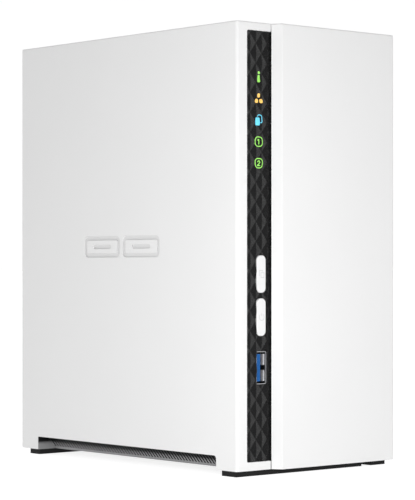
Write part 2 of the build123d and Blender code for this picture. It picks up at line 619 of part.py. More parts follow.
def fan_frame():
    """Square frame with a round duct, four struts and the plate that carries the stator."""
    frame = rounded_block(around(FAN_X, FAN_SIZE), FAN_Y, around(FAN_Z, FAN_SIZE), 4.0, Axis.Y)
    frame -= rod_y(FAN_X, grown(FAN_Y, 1), FAN_Z, FAN_BORE)
    plate = rod_y(FAN_X, (STATOR_PLATE, FAN_Y[1] - 1.5), FAN_Z, HUB_RADIUS)
    for angle in (0, 90, 180, 270):
        strut = Pos(22, 0, 0) * Box(16, 2.0, 2.4)
        plate += Pos(FAN_X, STATOR_PLATE + 1.2, FAN_Z) * Rot(0, angle + 20, 0) * strut
    tube = rod_y(FAN_X, (ROTOR_Y[0] + 4.0, STATOR_PLATE + 0.5), FAN_Z, 3.6)
    frame += plate + tube
    frame -= rod_y(FAN_X, (ROTOR_Y[0] + 3.0, STATOR_PLATE), FAN_Z, 2.6)
    for x, z in fan_corners():
        frame -= rod_y(x, grown(FAN_Y, 1), z, 2.15)
    return frame


def fan_bearing():
    sleeve = rod_y(FAN_X, (ROTOR_Y[0] + 4.2, STATOR_PLATE), FAN_Z, 2.6)
    return sleeve - rod_y(FAN_X, (ROTOR_Y[0] + 3, STATOR_PLATE + 1), FAN_Z, SHAFT_RADIUS + 0.04)


def fan_stator():
    """Four wound poles round the bearing tube."""
    y = (ROTOR_Y[0] + 6.0, STATOR_PLATE - 1.6)
    stator = rod_y(FAN_X, y, FAN_Z, 5.6)
    for angle in (0, 45, 90, 135):
        arm = Box(21.0, y[1] - y[0] - 2, 4.6)
        stator += Pos(FAN_X, (y[0] + y[1]) / 2, FAN_Z) * Rot(0, angle, 0) * arm
    return (stator & rod_y(FAN_X, y, FAN_Z, 11.2)) - rod_y(FAN_X, grown(y, 1), FAN_Z, 3.6)


def fan_shaft():
    return rod_y(FAN_X, (ROTOR_Y[0] + 1.0, STATOR_PLATE - 0.4), FAN_Z, SHAFT_RADIUS)


def fan_magnet():
    y = (ROTOR_Y[0] + 5.0, ROTOR_Y[1] - 0.5)
    return rod_y(FAN_X, y, FAN_Z, HUB_RADIUS - 1.2) - rod_y(FAN_X, grown(y, 1), FAN_Z, 11.9)


def fan_impeller():
    """Cup-shaped hub with seven twisted blades."""
    hub = rod_y(FAN_X, ROTOR_Y, FAN_Z, HUB_RADIUS)
    front_rim = [edge for edge in hub.edges() if abs(edge.center().Y - ROTOR_Y[0]) < 0.01]
    hub = fillet(front_rim, 1.5)
    blade_middle = (ROTOR_Y[0] + ROTOR_Y[1]) / 2
    for i in range(7):
        sections = []
        for radius, pitch, chord in ((HUB_RADIUS - 1, 52, 17), (21, 42, 21), (ROTOR_RADIUS + 1.5, 33, 25)):
            plane = Plane(origin=(radius, 0, 0), x_dir=(0, 1, 0), z_dir=(1, 0, 0)).rotated((pitch, 0, 0))
            sections.append(plane * Rectangle(chord, 1.4))
        blade = Pos(FAN_X, blade_middle, FAN_Z) * Rot(0, i * 360 / 7, 0) * loft(sections)
        hub += blade
    hub &= rod_y(FAN_X, ROTOR_Y, FAN_Z, ROTOR_RADIUS)
    hub -= rod_y(FAN_X, (ROTOR_Y[0] + 4.0, ROTOR_Y[1] + 1), FAN_Z, HUB_RADIUS - 1.2)
    return hub - rod_y(FAN_X, (ROTOR_Y[0] + 1.0, ROTOR_Y[1]), FAN_Z, SHAFT_RADIUS)


# ---------------------------------------------------------------- mainboard
MAINBOARD_Y, MAINBOARD_Z = (LED_BOARD_FRONT + BOARD_THICKNESS + 0.3, PANEL_FRONT - 0.6), (10.0, 124.0)
LINK_Y, LINK_Z = (-14.0, 22.0), (BACKPLANE_Z - 2.6, BACKPLANE_Z + BOARD_THICKNESS + 2.6)
PROCESSOR_Y, PROCESSOR_Z = 0.0, 74.0
HEAT_SINK_SIZE, HEAT_SINK_FINS = 38.0, 9
CELL_Y, CELL_Z = 34.0, 40.0
HEADER_Y, HEADER_Z = 20.0, 112.0


def on_board(height, y, z):
    """A box of a given height that stands on the mainboard."""
    return block((BOARD_FACE, BOARD_FACE + height), y, z)


def mainboard():
    x = (BOARD_BACK, BOARD_FACE)
    board = block(x, MAINBOARD_Y, MAINBOARD_Z)
    board += block(x, (LED_BOARD_FRONT - 4.0, MAINBOARD_Y[0] + 1), (30.0, 53.5))
    for y, z in BOARD_SCREWS:
        board -= rod_x(grown(x, 1), y, z, SCREW_HOLE + 0.2)
    return board


def processor():
    return on_board(1.4, around(PROCESSOR_Y, 17), around(PROCESSOR_Z, 17))


def heat_sink():
    """Finned block on the processor."""
    base_x = (BOARD_FACE + 1.4, BOARD_FACE + 3.4)
    y, z = around(PROCESSOR_Y, HEAT_SINK_SIZE), around(PROCESSOR_Z, HEAT_SINK_SIZE)
    sink = block(base_x, y, z)
    fin_step = (HEAT_SINK_SIZE - 1.2) / (HEAT_SINK_FINS - 1)
    for i in range(HEAT_SINK_FINS):
        fin_y = (y[0] + i * fin_step, y[0] + i * fin_step + 1.2)
        sink += block((base_x[1] - 0.5, BOARD_FACE + 11.5), fin_y, z)
    return sink


def board_chips():
    """Two memory chips, the flash chip and the small support chips."""
    chips = [on_board(1.1, around(y, 10), around(104.0, 13)) for y in (-12.0, 2.0)]
    chips.append(on_board(1.0, around(-34.0, 11.5), around(84.0, 13)))
    small = ((-36.0, 60.0, 7.0), (-20.0, 26.0, 9.0), (45.5, 87.0, 9.0), (44.0, 60.0, 5.0), (-42.0, 40.0, 5.0))
    chips += [on_board(0.9, around(y, size), around(z, size)) for y, z, size in small]
    return Part() + chips


def capacitors():
    cans = Part()
    for y, z in ((34.0, 66.0), (34.0, 74.5), (34.0, 83.0), (-32.0, 30.0), (-40.5, 30.0), (-8.0, 36.0)):
        cans += rod_x((BOARD_FACE, BOARD_FACE + 8), y, z, 3.15)
    return cans


def inductors():
    coils = Part()
    for y, z in ((44.0, 72.0), (-20.0, 40.0), (6.0, 30.0)):
        coils += fillet(on_board(3.6, around(y, 6.6), around(z, 6.6)).edges().filter_by(Axis.X), 0.8)
    return coils


def buzzer():
    y, z = -40.0, 104.0
    can = rod_x((BOARD_FACE, BOARD_FACE + 7.5), y, z, 6.0)
    return can - rod_x((BOARD_FACE + 6, BOARD_FACE + 9), y, z, 1.1)


def cell_holder():
    holder = rod_x((BOARD_FACE, BOARD_FACE + 4.6), CELL_Y, CELL_Z, 11.8)
    holder -= rod_x((BOARD_FACE + 1, BOARD_FACE + 6), CELL_Y, CELL_Z, 10.2)
    return holder - block((BOARD_FACE + 1, BOARD_FACE + 6), around(CELL_Y, 9), (CELL_Z + 5, CELL_Z + 13))


def coin_cell():
    return rod_x((BOARD_FACE + 1, BOARD_FACE + 4.2), CELL_Y, CELL_Z, 10.0)


def link_connector():
    """Edge connector that joins the backplane to the mainboard."""
    body = on_board(8.0, LINK_Y, LINK_Z)
    slot_z = (BACKPLANE_Z - 0.05, BACKPLANE_Z + BOARD_THICKNESS + 0.05)
    return body - block((BOARD_FACE + 1.5, BOARD_FACE + 9), grown(LINK_Y, -1.5), slot_z)


# ---------------------------------------------------------------- backplane, cage and drives
CAGE_X = (-20.5, 40.5)
CAGE_FRONT, CAGE_REAR = DRIVE_FRONT - 1.3, DRIVE_FRONT + DRIVE_WIDTH + 1.3
CAGE_TOP = 152.0
CONNECTOR_Y = (-22.0, 20.0)
DRIVE_SCREW_Z = (DRIVE_Z + 28.5, DRIVE_Z + 130.1)
DRIVE_HOLE_IN = 6.35                    # from the drive's board side to its screw holes
LID_FLANGE, LID_STEP = 0.6, 0.6         # thickness of the lid's rim and the rise of its middle


def backplane():
    x = (BOARD_FACE + 1.6, 38.0)
    board = block(x, grown(LINK_Y, -1.6), (BACKPLANE_Z, BACKPLANE_Z + BOARD_THICKNESS))
    board += block((-18.0, x[1]), (-31.0, 24.0), (BACKPLANE_Z, BACKPLANE_Z + BOARD_THICKNESS))
    for px, py in BACKPLANE_POSTS:
        board -= rod_z(px, py, (BACKPLANE_Z - 1, BACKPLANE_Z + 3), SCREW_HOLE + 0.2)
    return board


def drive_connector(index):
    """Drive socket with its two contact slots, standing on the backplane."""
    x = DRIVE_X[index] + 3.5
    z = (BACKPLANE_Z + BOARD_THICKNESS, DRIVE_Z)
    body = block((x, x + 6.0), CONNECTOR_Y, z)
    for span in ((CONNECTOR_Y[0] + 3, CONNECTOR_Y[0] + 24), (CONNECTOR_Y[0] + 27, CONNECTOR_Y[1] - 3)):
        body -= block((x + 2, x + 4), span, (z[1] - 6, z[1] + 1))
    return body


def drive_cage():
    """Folded sheet tray, open at the top, that holds both drives by their long edges."""
    z = (CAGE_FLOOR, CAGE_TOP)
    walls = [
        block(CAGE_X, (CAGE_FRONT, CAGE_FRONT + CAGE_SHEET), z),
        block(CAGE_X, (CAGE_REAR - CAGE_SHEET, CAGE_REAR), z),
        block((CAGE_X[0], CAGE_X[0] + CAGE_SHEET), (CAGE_FRONT, CAGE_REAR), z),
        block((CAGE_X[1] - CAGE_SHEET, CAGE_X[1]), (CAGE_FRONT, CAGE_FRONT + 10), z),
        block((CAGE_X[1] - CAGE_SHEET, CAGE_X[1]), (CAGE_REAR - 10, CAGE_REAR), z),
        block(CAGE_X, (CAGE_FRONT, CAGE_FRONT + 10), (CAGE_FLOOR, CAGE_FLOOR + CAGE_SHEET)),
        block(CAGE_X, (CAGE_REAR - 10, CAGE_REAR), (CAGE_FLOOR, CAGE_FLOOR + CAGE_SHEET)),
    ]
    cage = Part() + walls
    through = (CAGE_X[0] - 1, CAGE_X[0] + 3)
    for z_middle in (60.0, 110.0):
        opening = block(through, (-50.0, 20.0), around(z_middle, 36))
        cage -= fillet(opening.edges().filter_by(Axis.X), 6)
    cage -= block(through, (-32.0, 36.0), (CAGE_FLOOR - 1, 18.0))
    for index in (0, 1):
        x = DRIVE_X[index] + DRIVE_HOLE_IN
        for screw_z in DRIVE_SCREW_Z:
            cage -= rod_y(x, (CAGE_FRONT - 1, CAGE_REAR + 1), screw_z, 1.9)
    for x, y in CAGE_BOSSES:
        cage -= rod_z(x, y, (CAGE_FLOOR - 1, CAGE_FLOOR + 3), 1.6)
    return cage


def drive_span(index):
    """The space of one drive, which stands on its connector with its lid to the right."""
    x = (DRIVE_X[index], DRIVE_X[index] + DRIVE_HEIGHT)
    return x, (DRIVE_FRONT, DRIVE_FRONT + DRIVE_WIDTH), (DRIVE_Z, DRIVE_Z + DRIVE_LENGTH)


def drive_casting(index):
    """Cast tub with a recess for its board on the left and its lid on the right."""
    x, y, z = drive_span(index)
    tub = fillet(block((x[0], x[1] - LID_FLANGE - LID_STEP), y, z).edges().filter_by(Axis.X), 3.0)
    tub -= block((x[0] + 5.0, x[1]), grown(y, -4), grown(z, -4))
    tub -= block((x[0] - 1, x[0] + 3.0), grown(y, -6), (z[0] + 1.5, z[0] + 92))
    for screw_z in DRIVE_SCREW_Z:
        tub -= rod_y(x[0] + DRIVE_HOLE_IN, (y[0] - 1, y[0] + 3.4), screw_z, SCREW_HOLE)
        tub -= rod_y(x[0] + DRIVE_HOLE_IN, (y[1] - 3.4, y[1] + 1), screw_z, SCREW_HOLE)
    return tub


def drive_lid(index):
    """Pressed lid with a stepped centre."""
    x, y, z = drive_span(index)
    sheet = (x[1] - LID_FLANGE - LID_STEP, x[1] - LID_STEP)
    lid = fillet(block(sheet, grown(y, -0.6), grown(z, -0.6)).edges().filter_by(Axis.X), 3.0)
    middle_y, middle_z = (y[0] + y[1]) / 2, (z[0] + z[1]) / 2
    lid += rod_x((sheet[1], x[1]), middle_y, middle_z + 12, 38.0)
    return lid


def drive_board(index):
    x, y, z = drive_span(index)
    return block((x[0] + 1.2, x[0] + 2.6), grown(y, -7), (z[0] + 2.5, z[0] + 91))


# ---------------------------------------------------------------- fasteners
HEAD_RADIUS, HEAD_HEIGHT, INNER_SCREW_LENGTH = 2.6, 1.6, 5.5
DRIVE_HEAD_RADIUS, DRIVE_HEAD_HEIGHT, DRIVE_SCREW_LENGTH = 2.8, 1.4, 4.3


def screw_x(x, y, z):
    """Pan-head screw whose shank points towards -X from its head's seat at x."""
    head = rod_x((x, x + HEAD_HEIGHT), y, z, HEAD_RADIUS)
    return head + rod_x((x - INNER_SCREW_LENGTH, x), y, z, SCREW_SHANK)


def screw_down(x, y, z):
    """Pan-head screw with its head's seat at z and its shank down."""
    head = rod_z(x, y, (z, z + HEAD_HEIGHT), HEAD_RADIUS)
    return head + rod_z(x, y, (z - INNER_SCREW_LENGTH, z), SCREW_SHANK)


def drive_screw(x, y, z, inward):
    """Screw through the cage into a drive's edge; inward is +1 at the front and -1 at the back."""
    head = rod_y(x, sorted((y, y - inward * DRIVE_HEAD_HEIGHT)), z, DRIVE_HEAD_RADIUS)
    return head + rod_y(x, sorted((y, y + inward * DRIVE_SCREW_LENGTH)), z, SCREW_SHANK)


def inner_screws():
    """The like screws that hold the mainboard, the backplane and the drive cage."""
    screws = [screw_x(BOARD_FACE, y, z) for y, z in BOARD_SCREWS]
    screws += [screw_down(x, y, BACKPLANE_Z + BOARD_THICKNESS) for x, y in BACKPLANE_POSTS]
    screws += [screw_down(x, y, CAGE_FLOOR + CAGE_SHEET) for x, y in CAGE_BOSSES]
    return Part() + screws


def drive_screws():
    screws = Part()
    for index in (0, 1):
        x = DRIVE_X[index] + DRIVE_HOLE_IN
        for z in DRIVE_SCREW_Z:
            screws += drive_screw(x, CAGE_FRONT, z, 1)
            screws += drive_screw(x, CAGE_REAR, z, -1)
    return screws


def fan_screws():
    screws = Part()
    for x, z in fan_corners():
        head = Pos(x, PANEL_BACK - 0.85, z) * Rot(-90, 0, 0) * Cone(2.1, 3.8, 1.7)
        drive = Pos(x, PANEL_BACK, z) * (Box(3.6, 1.4, 0.7) + Box(0.7, 1.4, 3.6))
        screws += head - drive + rod_y(x, (PANEL_FRONT - 6, PANEL_BACK - 1.7), z, 2.1)
    return screws


def rear_screws():
    """Four like screws: two hold the back panel and two hold the cover's lugs."""
    screws = Part()
    for x, z in PANEL_SCREWS + LUGS:
        head = rod_y(x, (PANEL_BACK, REAR - 0.05), z, 3.0)
        drive = Pos(x, REAR, z) * (Box(3.2, 1.2, 0.7) + Box(0.7, 1.2, 3.2))
        screws += head - drive + rod_y(x, (PANEL_BACK - REAR_SCREW_LENGTH, PANEL_BACK), z, SCREW_SHANK)
    return screws


# ---------------------------------------------------------------- fan wire
WIRE_RADIUS = 1.1
WIRE_X = BOARD_FACE + 3.0
PLUG_Y = (HEADER_Y + 2.0, HEADER_Y + 8.5)


def fan_header():
    return on_board(5.6, around(HEADER_Y, 4.0), around(HEADER_Z, 8.0))


def fan_plug():
    return block(around(WIRE_X, 4.6), PLUG_Y, around(HEADER_Z, 7.6))


def fan_wire():
    """Sleeved leads from the plug to the fan frame, along straight runs joined by arcs."""
    end_x, end_z = FAN_X - FAN_SIZE / 2 + 4.0, FAN_Z - FAN_SIZE / 2 + 8.6
    route = [
        (WIRE_X, PLUG_Y[1], HEADER_Z),
        (WIRE_X, PLUG_Y[1] + 4.5, HEADER_Z),
        (WIRE_X + 3.2, PLUG_Y[1] + 8.7, HEADER_Z + 2.8),
        (end_x - 3.2, FAN_Y[0] - 8.6, end_z - 2.6),
        (end_x, FAN_Y[0] - 4.5, end_z),
        (end_x, FAN_Y[0], end_z)]
    points = [Vector(*point) for point in route]
    radii = []
    for before, corner, after in zip(points, points[1:], points[2:]):
        shorter = min((corner - before).length, (after - corner).length)
        turn = math.radians((corner - before).get_angle(after - corner))
        radii.append(0.45 * shorter / math.tan(turn / 2))
    path = FilletPolyline(*points, radius=radii)
    start = path % 0
    profile = Plane(origin=path @ 0, z_dir=start) * Circle(WIRE_RADIUS)
    wire = sweep(profile, path)
    print("fan wire bend radii", [round(r, 1) for r in radii], "volume ratio",
          round(wire.volume / (math.pi * WIRE_RADIUS ** 2 * path.length), 3))
    return wire


# ---------------------------------------------------------------- every node
def model():
    """Every sub-part by name."""
    status, network, copy, bay_1, bay_2 = [status_light(icon, z) for icon, z in zip(icons(), ICON_Z)]
    rear_mouths = [(REAR_USB_X, z, REAR_MOUTH, -1) for z in REAR_USB_Z]
    drives = (0, 1)
    return {
        "left_shell": left_shell(),
        "cover": cover(),
        "control_strip": control_strip(),
        "status_light": status,
        "network_light": network,
        "copy_light": copy,
        "bay_lights": bay_1 + bay_2,
        "light_shield": light_shield(),
        "copy_button": push_button(COPY_BUTTON_Z),
        "copy_switch_plunger": switch_plunger(COPY_BUTTON_Z),
        "power_button": push_button(POWER_BUTTON_Z),
        "power_switch_plunger": switch_plunger(POWER_BUTTON_Z),
        "front_switches": front_switches(),
        "front_board": front_board(),
        "status_leds": status_leds(),
        "front_usb_shell": usb_shell(FRONT_USB_X, FRONT_USB_Z, FRONT_USB_MOUTH, 1),
        "front_usb_tongue": usb_tongue(FRONT_USB_X, FRONT_USB_Z, FRONT_USB_MOUTH, 1),
        "base_pan": base_pan(),
        "cover_vent_strip": cover_vent_strip(),
        "front_foot_bar": foot_bar(FOOT_FRONT),
        "rear_foot_bar": foot_bar(FOOT_REAR),
        "cover_feet": cover_feet(),
        "rear_panel": rear_panel(),
        "rear_screws": rear_screws(),
        "fan_frame": fan_frame(),
        "fan_bearing": fan_bearing(),
        "fan_stator": fan_stator(),
        "fan_impeller": fan_impeller(),
        "fan_magnet": fan_magnet(),
        "fan_shaft": fan_shaft(),
        "fan_screws": fan_screws(),
        "fan_wire": fan_wire(),
        "fan_plug": fan_plug(),
        "fan_header": fan_header(),
        "mainboard": mainboard(),
        "inner_screws": inner_screws(),
        "processor": processor(),
        "heat_sink": heat_sink(),
        "board_chips": board_chips(),
        "capacitors": capacitors(),
        "inductors": inductors(),
        "buzzer": buzzer(),
        "cell_holder": cell_holder(),
        "coin_cell": coin_cell(),
        "network_jack_shield": network_jack_shield(),
        "network_jack_body": network_jack_body(),
        "network_contacts": network_contacts(),
        "rear_usb_shells": Part() + [usb_shell(*mouth) for mouth in rear_mouths],
        "rear_usb_tongues": Part() + [usb_tongue(*mouth) for mouth in rear_mouths],
        "power_inlet": power_inlet(),
        "power_inlet_pin": power_inlet_pin(),
        "reset_switch": reset_switch(),
        "reset_button": reset_button(),
        "link_connector": link_connector(),
        "backplane": backplane(),
        "drive_connectors": Part() + [drive_connector(index) for index in drives],
        "drive_cage": drive_cage(),
        "drive_castings": Part() + [drive_casting(index) for index in drives],
        "drive_lids_and_boards": Part() + [
            make(index) for make in (drive_lid, drive_board) for index in drives],
        "drive_screws": drive_screws(),
    }


os.makedirs("parts", exist_ok=True)
for node, solid in model().items():
    solid.label = node
    export_step(solid, f"parts/{node}.step")
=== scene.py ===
"""Looks of a two-bay desktop network storage box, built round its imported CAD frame.

Metres.  +X is right, +Y is back and +Z is up, with the origin under the middle of the case.
"""
import json
import math

import bmesh
import bpy
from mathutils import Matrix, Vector


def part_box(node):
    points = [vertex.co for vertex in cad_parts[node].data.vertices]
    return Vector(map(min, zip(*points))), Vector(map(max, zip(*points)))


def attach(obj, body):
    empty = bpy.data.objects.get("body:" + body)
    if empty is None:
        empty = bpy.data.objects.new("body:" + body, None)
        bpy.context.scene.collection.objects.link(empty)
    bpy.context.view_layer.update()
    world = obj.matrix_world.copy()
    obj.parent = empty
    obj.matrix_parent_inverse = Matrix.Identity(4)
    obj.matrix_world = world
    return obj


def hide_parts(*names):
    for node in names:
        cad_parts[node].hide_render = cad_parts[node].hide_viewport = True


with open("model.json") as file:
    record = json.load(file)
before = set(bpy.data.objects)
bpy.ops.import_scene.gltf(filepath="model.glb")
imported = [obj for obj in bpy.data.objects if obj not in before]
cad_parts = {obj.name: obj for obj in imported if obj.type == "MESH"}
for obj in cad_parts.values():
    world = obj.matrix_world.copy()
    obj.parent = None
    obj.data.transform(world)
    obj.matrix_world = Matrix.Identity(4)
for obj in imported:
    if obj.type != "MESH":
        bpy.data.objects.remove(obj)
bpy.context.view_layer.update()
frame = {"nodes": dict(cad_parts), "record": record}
MM = 0.001


# ---------------------------------------------------------------- places read from the frame
SHELL_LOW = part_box("left_shell")[0]
COVER_LOW, COVER_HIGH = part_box("cover")
STRIP_LOW, STRIP_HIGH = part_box("control_strip")
CASE_LOW = Vector((SHELL_LOW.x, COVER_LOW.y, SHELL_LOW.z))
CASE_HIGH = Vector((COVER_HIGH.x, COVER_HIGH.y, COVER_HIGH.z))
FRONT_SOCKET_LOW, FRONT_SOCKET_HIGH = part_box("front_usb_shell")
REAR_SOCKETS_LOW, REAR_SOCKETS_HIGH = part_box("rear_usb_shells")
SEAM_GAP = 0.4 * MM
SEAM_X = COVER_LOW.x - SEAM_GAP          # edge of the left shell, at the gap beside the cover

# The slanted, slotted walls of the two vents, which mirror each other about x = 0.
VENT_FOOT_IN, VENT_HEAD_IN = 9.4 * MM, 4.5 * MM     # how far in from the sides their foot and head stand
VENT_FOOT_Z, VENT_HEAD_Z = SHELL_LOW.z, 8.2 * MM

# The sunk mark on the left side.
MARK_Y, MARK_Z = CASE_LOW.y + 80.5 * MM, 95.9 * MM
MARK_FLOOR_X = SHELL_LOW.x + 0.55 * MM
MARK_REACH = {"X": 0.4 * MM, "Y": 27 * MM, "Z": 8 * MM}


# ---------------------------------------------------------------- material tools
class Paint:
    """A principled material under construction, with short calls for its nodes."""

    def __init__(self, name, metallic=0.0, specular=0.5):
        self.material = bpy.data.materials.new(name)
        self.material.use_nodes = True
        self.nodes = self.material.node_tree.nodes
        self.links = self.material.node_tree.links
        self.shader = self.nodes["Principled BSDF"]
        self.shader.inputs["Metallic"].default_value = metallic
        self.shader.inputs["Specular IOR Level"].default_value = specular
        self.place = self.nodes.new("ShaderNodeTexCoord").outputs["Object"]
        self.height = None

    def link(self, source, target):
        self.links.new(source, target)

    def stretched(self, scale):
        """Object coordinates stretched by a factor along each axis."""
        node = self.nodes.new("ShaderNodeMapping")
        node.inputs["Scale"].default_value = scale
        self.link(self.place, node.inputs["Vector"])
        return node.outputs["Vector"]

    def noise(self, size_mm, detail=3.0, roughness=0.55, stretch=None):
        """Fractal noise whose features are about size_mm across."""
        node = self.nodes.new("ShaderNodeTexNoise")
        node.inputs["Scale"].default_value = 1 / (size_mm * MM)
        node.inputs["Detail"].default_value = detail
        node.inputs["Roughness"].default_value = roughness
        self.link(self.stretched(stretch) if stretch else self.place, node.inputs["Vector"])
        return node.outputs["Fac"]

    def cells(self, size_mm):
        """Distance from the middle of pebbles about size_mm across."""
        node = self.nodes.new("ShaderNodeTexVoronoi")
        node.inputs["Scale"].default_value = 1 / (size_mm * MM)
        self.link(self.place, node.inputs["Vector"])
        return node.outputs["Distance"]

    def bands(self, size_mm, axis, distortion):
        """Wavy parallel bands, repeating about every size_mm."""
        node = self.nodes.new("ShaderNodeTexWave")
        node.bands_direction = axis
        node.inputs["Scale"].default_value = 1 / (math.pi * size_mm * MM)
        node.inputs["Distortion"].default_value = distortion
        self.link(self.place, node.inputs["Vector"])
        return node.outputs["Fac"]

    def ramp(self, source, *stops):
        """Colour ramp through (position, value or colour) stops."""
        node = self.nodes.new("ShaderNodeValToRGB")
        elements = node.color_ramp.elements
        while len(elements) < len(stops):
            elements.new(0.5)
        for element, (position, value) in zip(elements, stops):
            element.position = position
            colour = value if isinstance(value, (tuple, list)) else (value,) * 3
            element.color = (*colour[:3], 1.0)
        self.link(source, node.inputs["Fac"])
        return node.outputs["Color"]

    def math(self, operation, first, second):
        """One arithmetic step on two numbers or sockets."""
        node = self.nodes.new("ShaderNodeMath")
        node.operation = operation
        for socket, value in zip(node.inputs, (first, second)):
            if isinstance(value, (int, float)):
                socket.default_value = value
            else:
                self.link(value, socket)
        return node.outputs["Value"]

    def mix(self, factor, first, second, blend="MIX"):
        """Mixes two colours, each a tuple or a socket."""
        node = self.nodes.new("ShaderNodeMix")
        node.data_type = "RGBA"
        node.blend_type = blend
        sockets = (node.inputs[0], node.inputs[6], node.inputs[7])     # factor and the two colours
        for socket, value in zip(sockets, (factor, first, second)):
            if isinstance(value, (int, float)):
                socket.default_value = value
            elif isinstance(value, (tuple, list)):
                socket.default_value = (*value[:3], 1.0)
            else:
                self.link(value, socket)
        return node.outputs[2]

    def colour(self, source):
        self.link(source, self.shader.inputs["Base Color"])

    def rough(self, source, low, high):
        """Roughness that runs from low to high as source runs from 0 to 1."""
        node = self.nodes.new("ShaderNodeMapRange")
        node.inputs["To Min"].default_value = low
        node.inputs["To Max"].default_value = high
        self.link(source, node.inputs["Value"])
        self.link(node.outputs["Result"], self.shader.inputs["Roughness"])

    def bump(self, source, depth_mm, strength=1.0):
        """Adds a height of depth_mm times source to the surface."""
        node = self.nodes.new("ShaderNodeBump")
        node.inputs["Distance"].default_value = depth_mm * MM
        node.inputs["Strength"].default_value = strength
        self.link(source, node.inputs["Height"])
        if self.height is not None:
            self.link(self.height, node.inputs["Normal"])
        self.height = node.outputs["Normal"]
        self.link(self.height, self.shader.inputs["Normal"])

    def axis(self, name):
        """One coordinate of the object frame, in metres."""
        node = self.nodes.new("ShaderNodeSeparateXYZ")
        self.link(self.place, node.inputs["Vector"])
        return node.outputs[name]


def tint(colour, factor):
    return tuple(min(1.0, channel * factor) for channel in colour[:3])


def near(paint, coordinate, plane, reach):
    """1 on a plane of constant coordinate, fading to 0 at reach metres from it."""
    gap = paint.math("ABSOLUTE", paint.math("SUBTRACT", paint.axis(coordinate), plane), 0.0)
    return paint.math("MAXIMUM", paint.math("SUBTRACT", 1.0, paint.math("DIVIDE", gap, reach)), 0.0)


def edge_wear(paint, planes, reach):
    """Where two of the given planes are both close: the outer edges of a box-shaped shell."""
    worn = None
    sides = [near(paint, coordinate, plane, reach) for coordinate, plane in planes]
    for i, first in enumerate(sides):
        for (name, _), second in zip(planes[i + 1:], sides[i + 1:]):
            if name == planes[i][0]:
                continue
            both = paint.math("MULTIPLY", first, second)
            worn = both if worn is None else paint.math("MAXIMUM", worn, both)
    return worn


# ---------------------------------------------------------------- materials
def mark_floor_painted_shade(paint):
    """1 on the floor of the sunk mark and 0 elsewhere: where grey is painted as shade in the recess."""
    inside = 1.0
    for coordinate, middle in (("X", MARK_FLOOR_X), ("Y", MARK_Y), ("Z", MARK_Z)):
        gap = paint.math("ABSOLUTE", paint.math("SUBTRACT", paint.axis(coordinate), middle), 0.0)
        inside = paint.math("MULTIPLY", inside, paint.math("LESS_THAN", gap, MARK_REACH[coordinate]))
    return inside


def shell_plastic(name, colour):
    """Matt white moulding: a fine spark texture, faint cloudiness and slightly polished outer edges."""
    paint = Paint(name, specular=0.42)
    cloud = paint.noise(38, detail=2)
    grain = paint.noise(0.42, detail=2, roughness=0.6)
    planes = [("X", CASE_LOW.x), ("X", CASE_HIGH.x), ("Y", CASE_LOW.y), ("Y", SHELL_LOW.y),
              ("Y", CASE_HIGH.y), ("Z", CASE_LOW.z), ("Z", CASE_HIGH.z)]
    worn = paint.math("MULTIPLY", edge_wear(paint, planes, 2.2 * MM), paint.noise(3.5, detail=4))
    body = paint.ramp(cloud, (0.25, tint(colour, 0.985)), (0.75, tint(colour, 1.0)))
    body = paint.mix(paint.math("MULTIPLY", grain, 0.25), body, tint(colour, 0.965))
    body = paint.mix(paint.math("MULTIPLY", worn, 0.35), body, tint(colour, 0.90))
    # The sunk mark's floor is painted grey, as shade in the recess.
    paint.colour(paint.mix(mark_floor_painted_shade(paint), body, tint(colour, 0.88)))
    paint.rough(paint.math("SUBTRACT", paint.noise(1.1, detail=3), worn), 0.40, 0.56)
    paint.bump(grain, 0.010, 0.55)
    paint.bump(paint.noise(9, detail=1), 0.02, 0.12)
    return paint.material


def button_plastic(name, colour):
    """Satin white caps, a little glossier and warmer where fingers polish them."""
    paint = Paint(name, specular=0.5)
    touch = paint.noise(3.0, detail=2)
    paint.colour(paint.ramp(touch, (0.3, tint(colour, 0.98)), (0.7, colour)))
    paint.rough(touch, 0.26, 0.38)
    paint.bump(paint.noise(0.35, detail=2), 0.006, 0.4)
    return paint.material


def dark_plastic(name, colour, rough=(0.36, 0.52), grain_mm=0.5, grain_depth=0.012, specular=0.45):
    """Dark moulding with fine texture, faint dust and uneven sheen."""
    paint = Paint(name, specular=specular)
    grain = paint.noise(grain_mm, detail=3)
    dust = paint.math("POWER", paint.noise(7.0, detail=5, roughness=0.7), 3.0)
    body = paint.ramp(paint.noise(12, detail=2), (0.3, tint(colour, 0.88)), (0.7, tint(colour, 1.1)))
    paint.colour(paint.mix(paint.math("MULTIPLY", dust, 0.12), body, tint(colour, 2.2)))
    paint.rough(paint.noise(2.0, detail=3), *rough)
    paint.bump(grain, grain_depth, 0.5)
    return paint.material


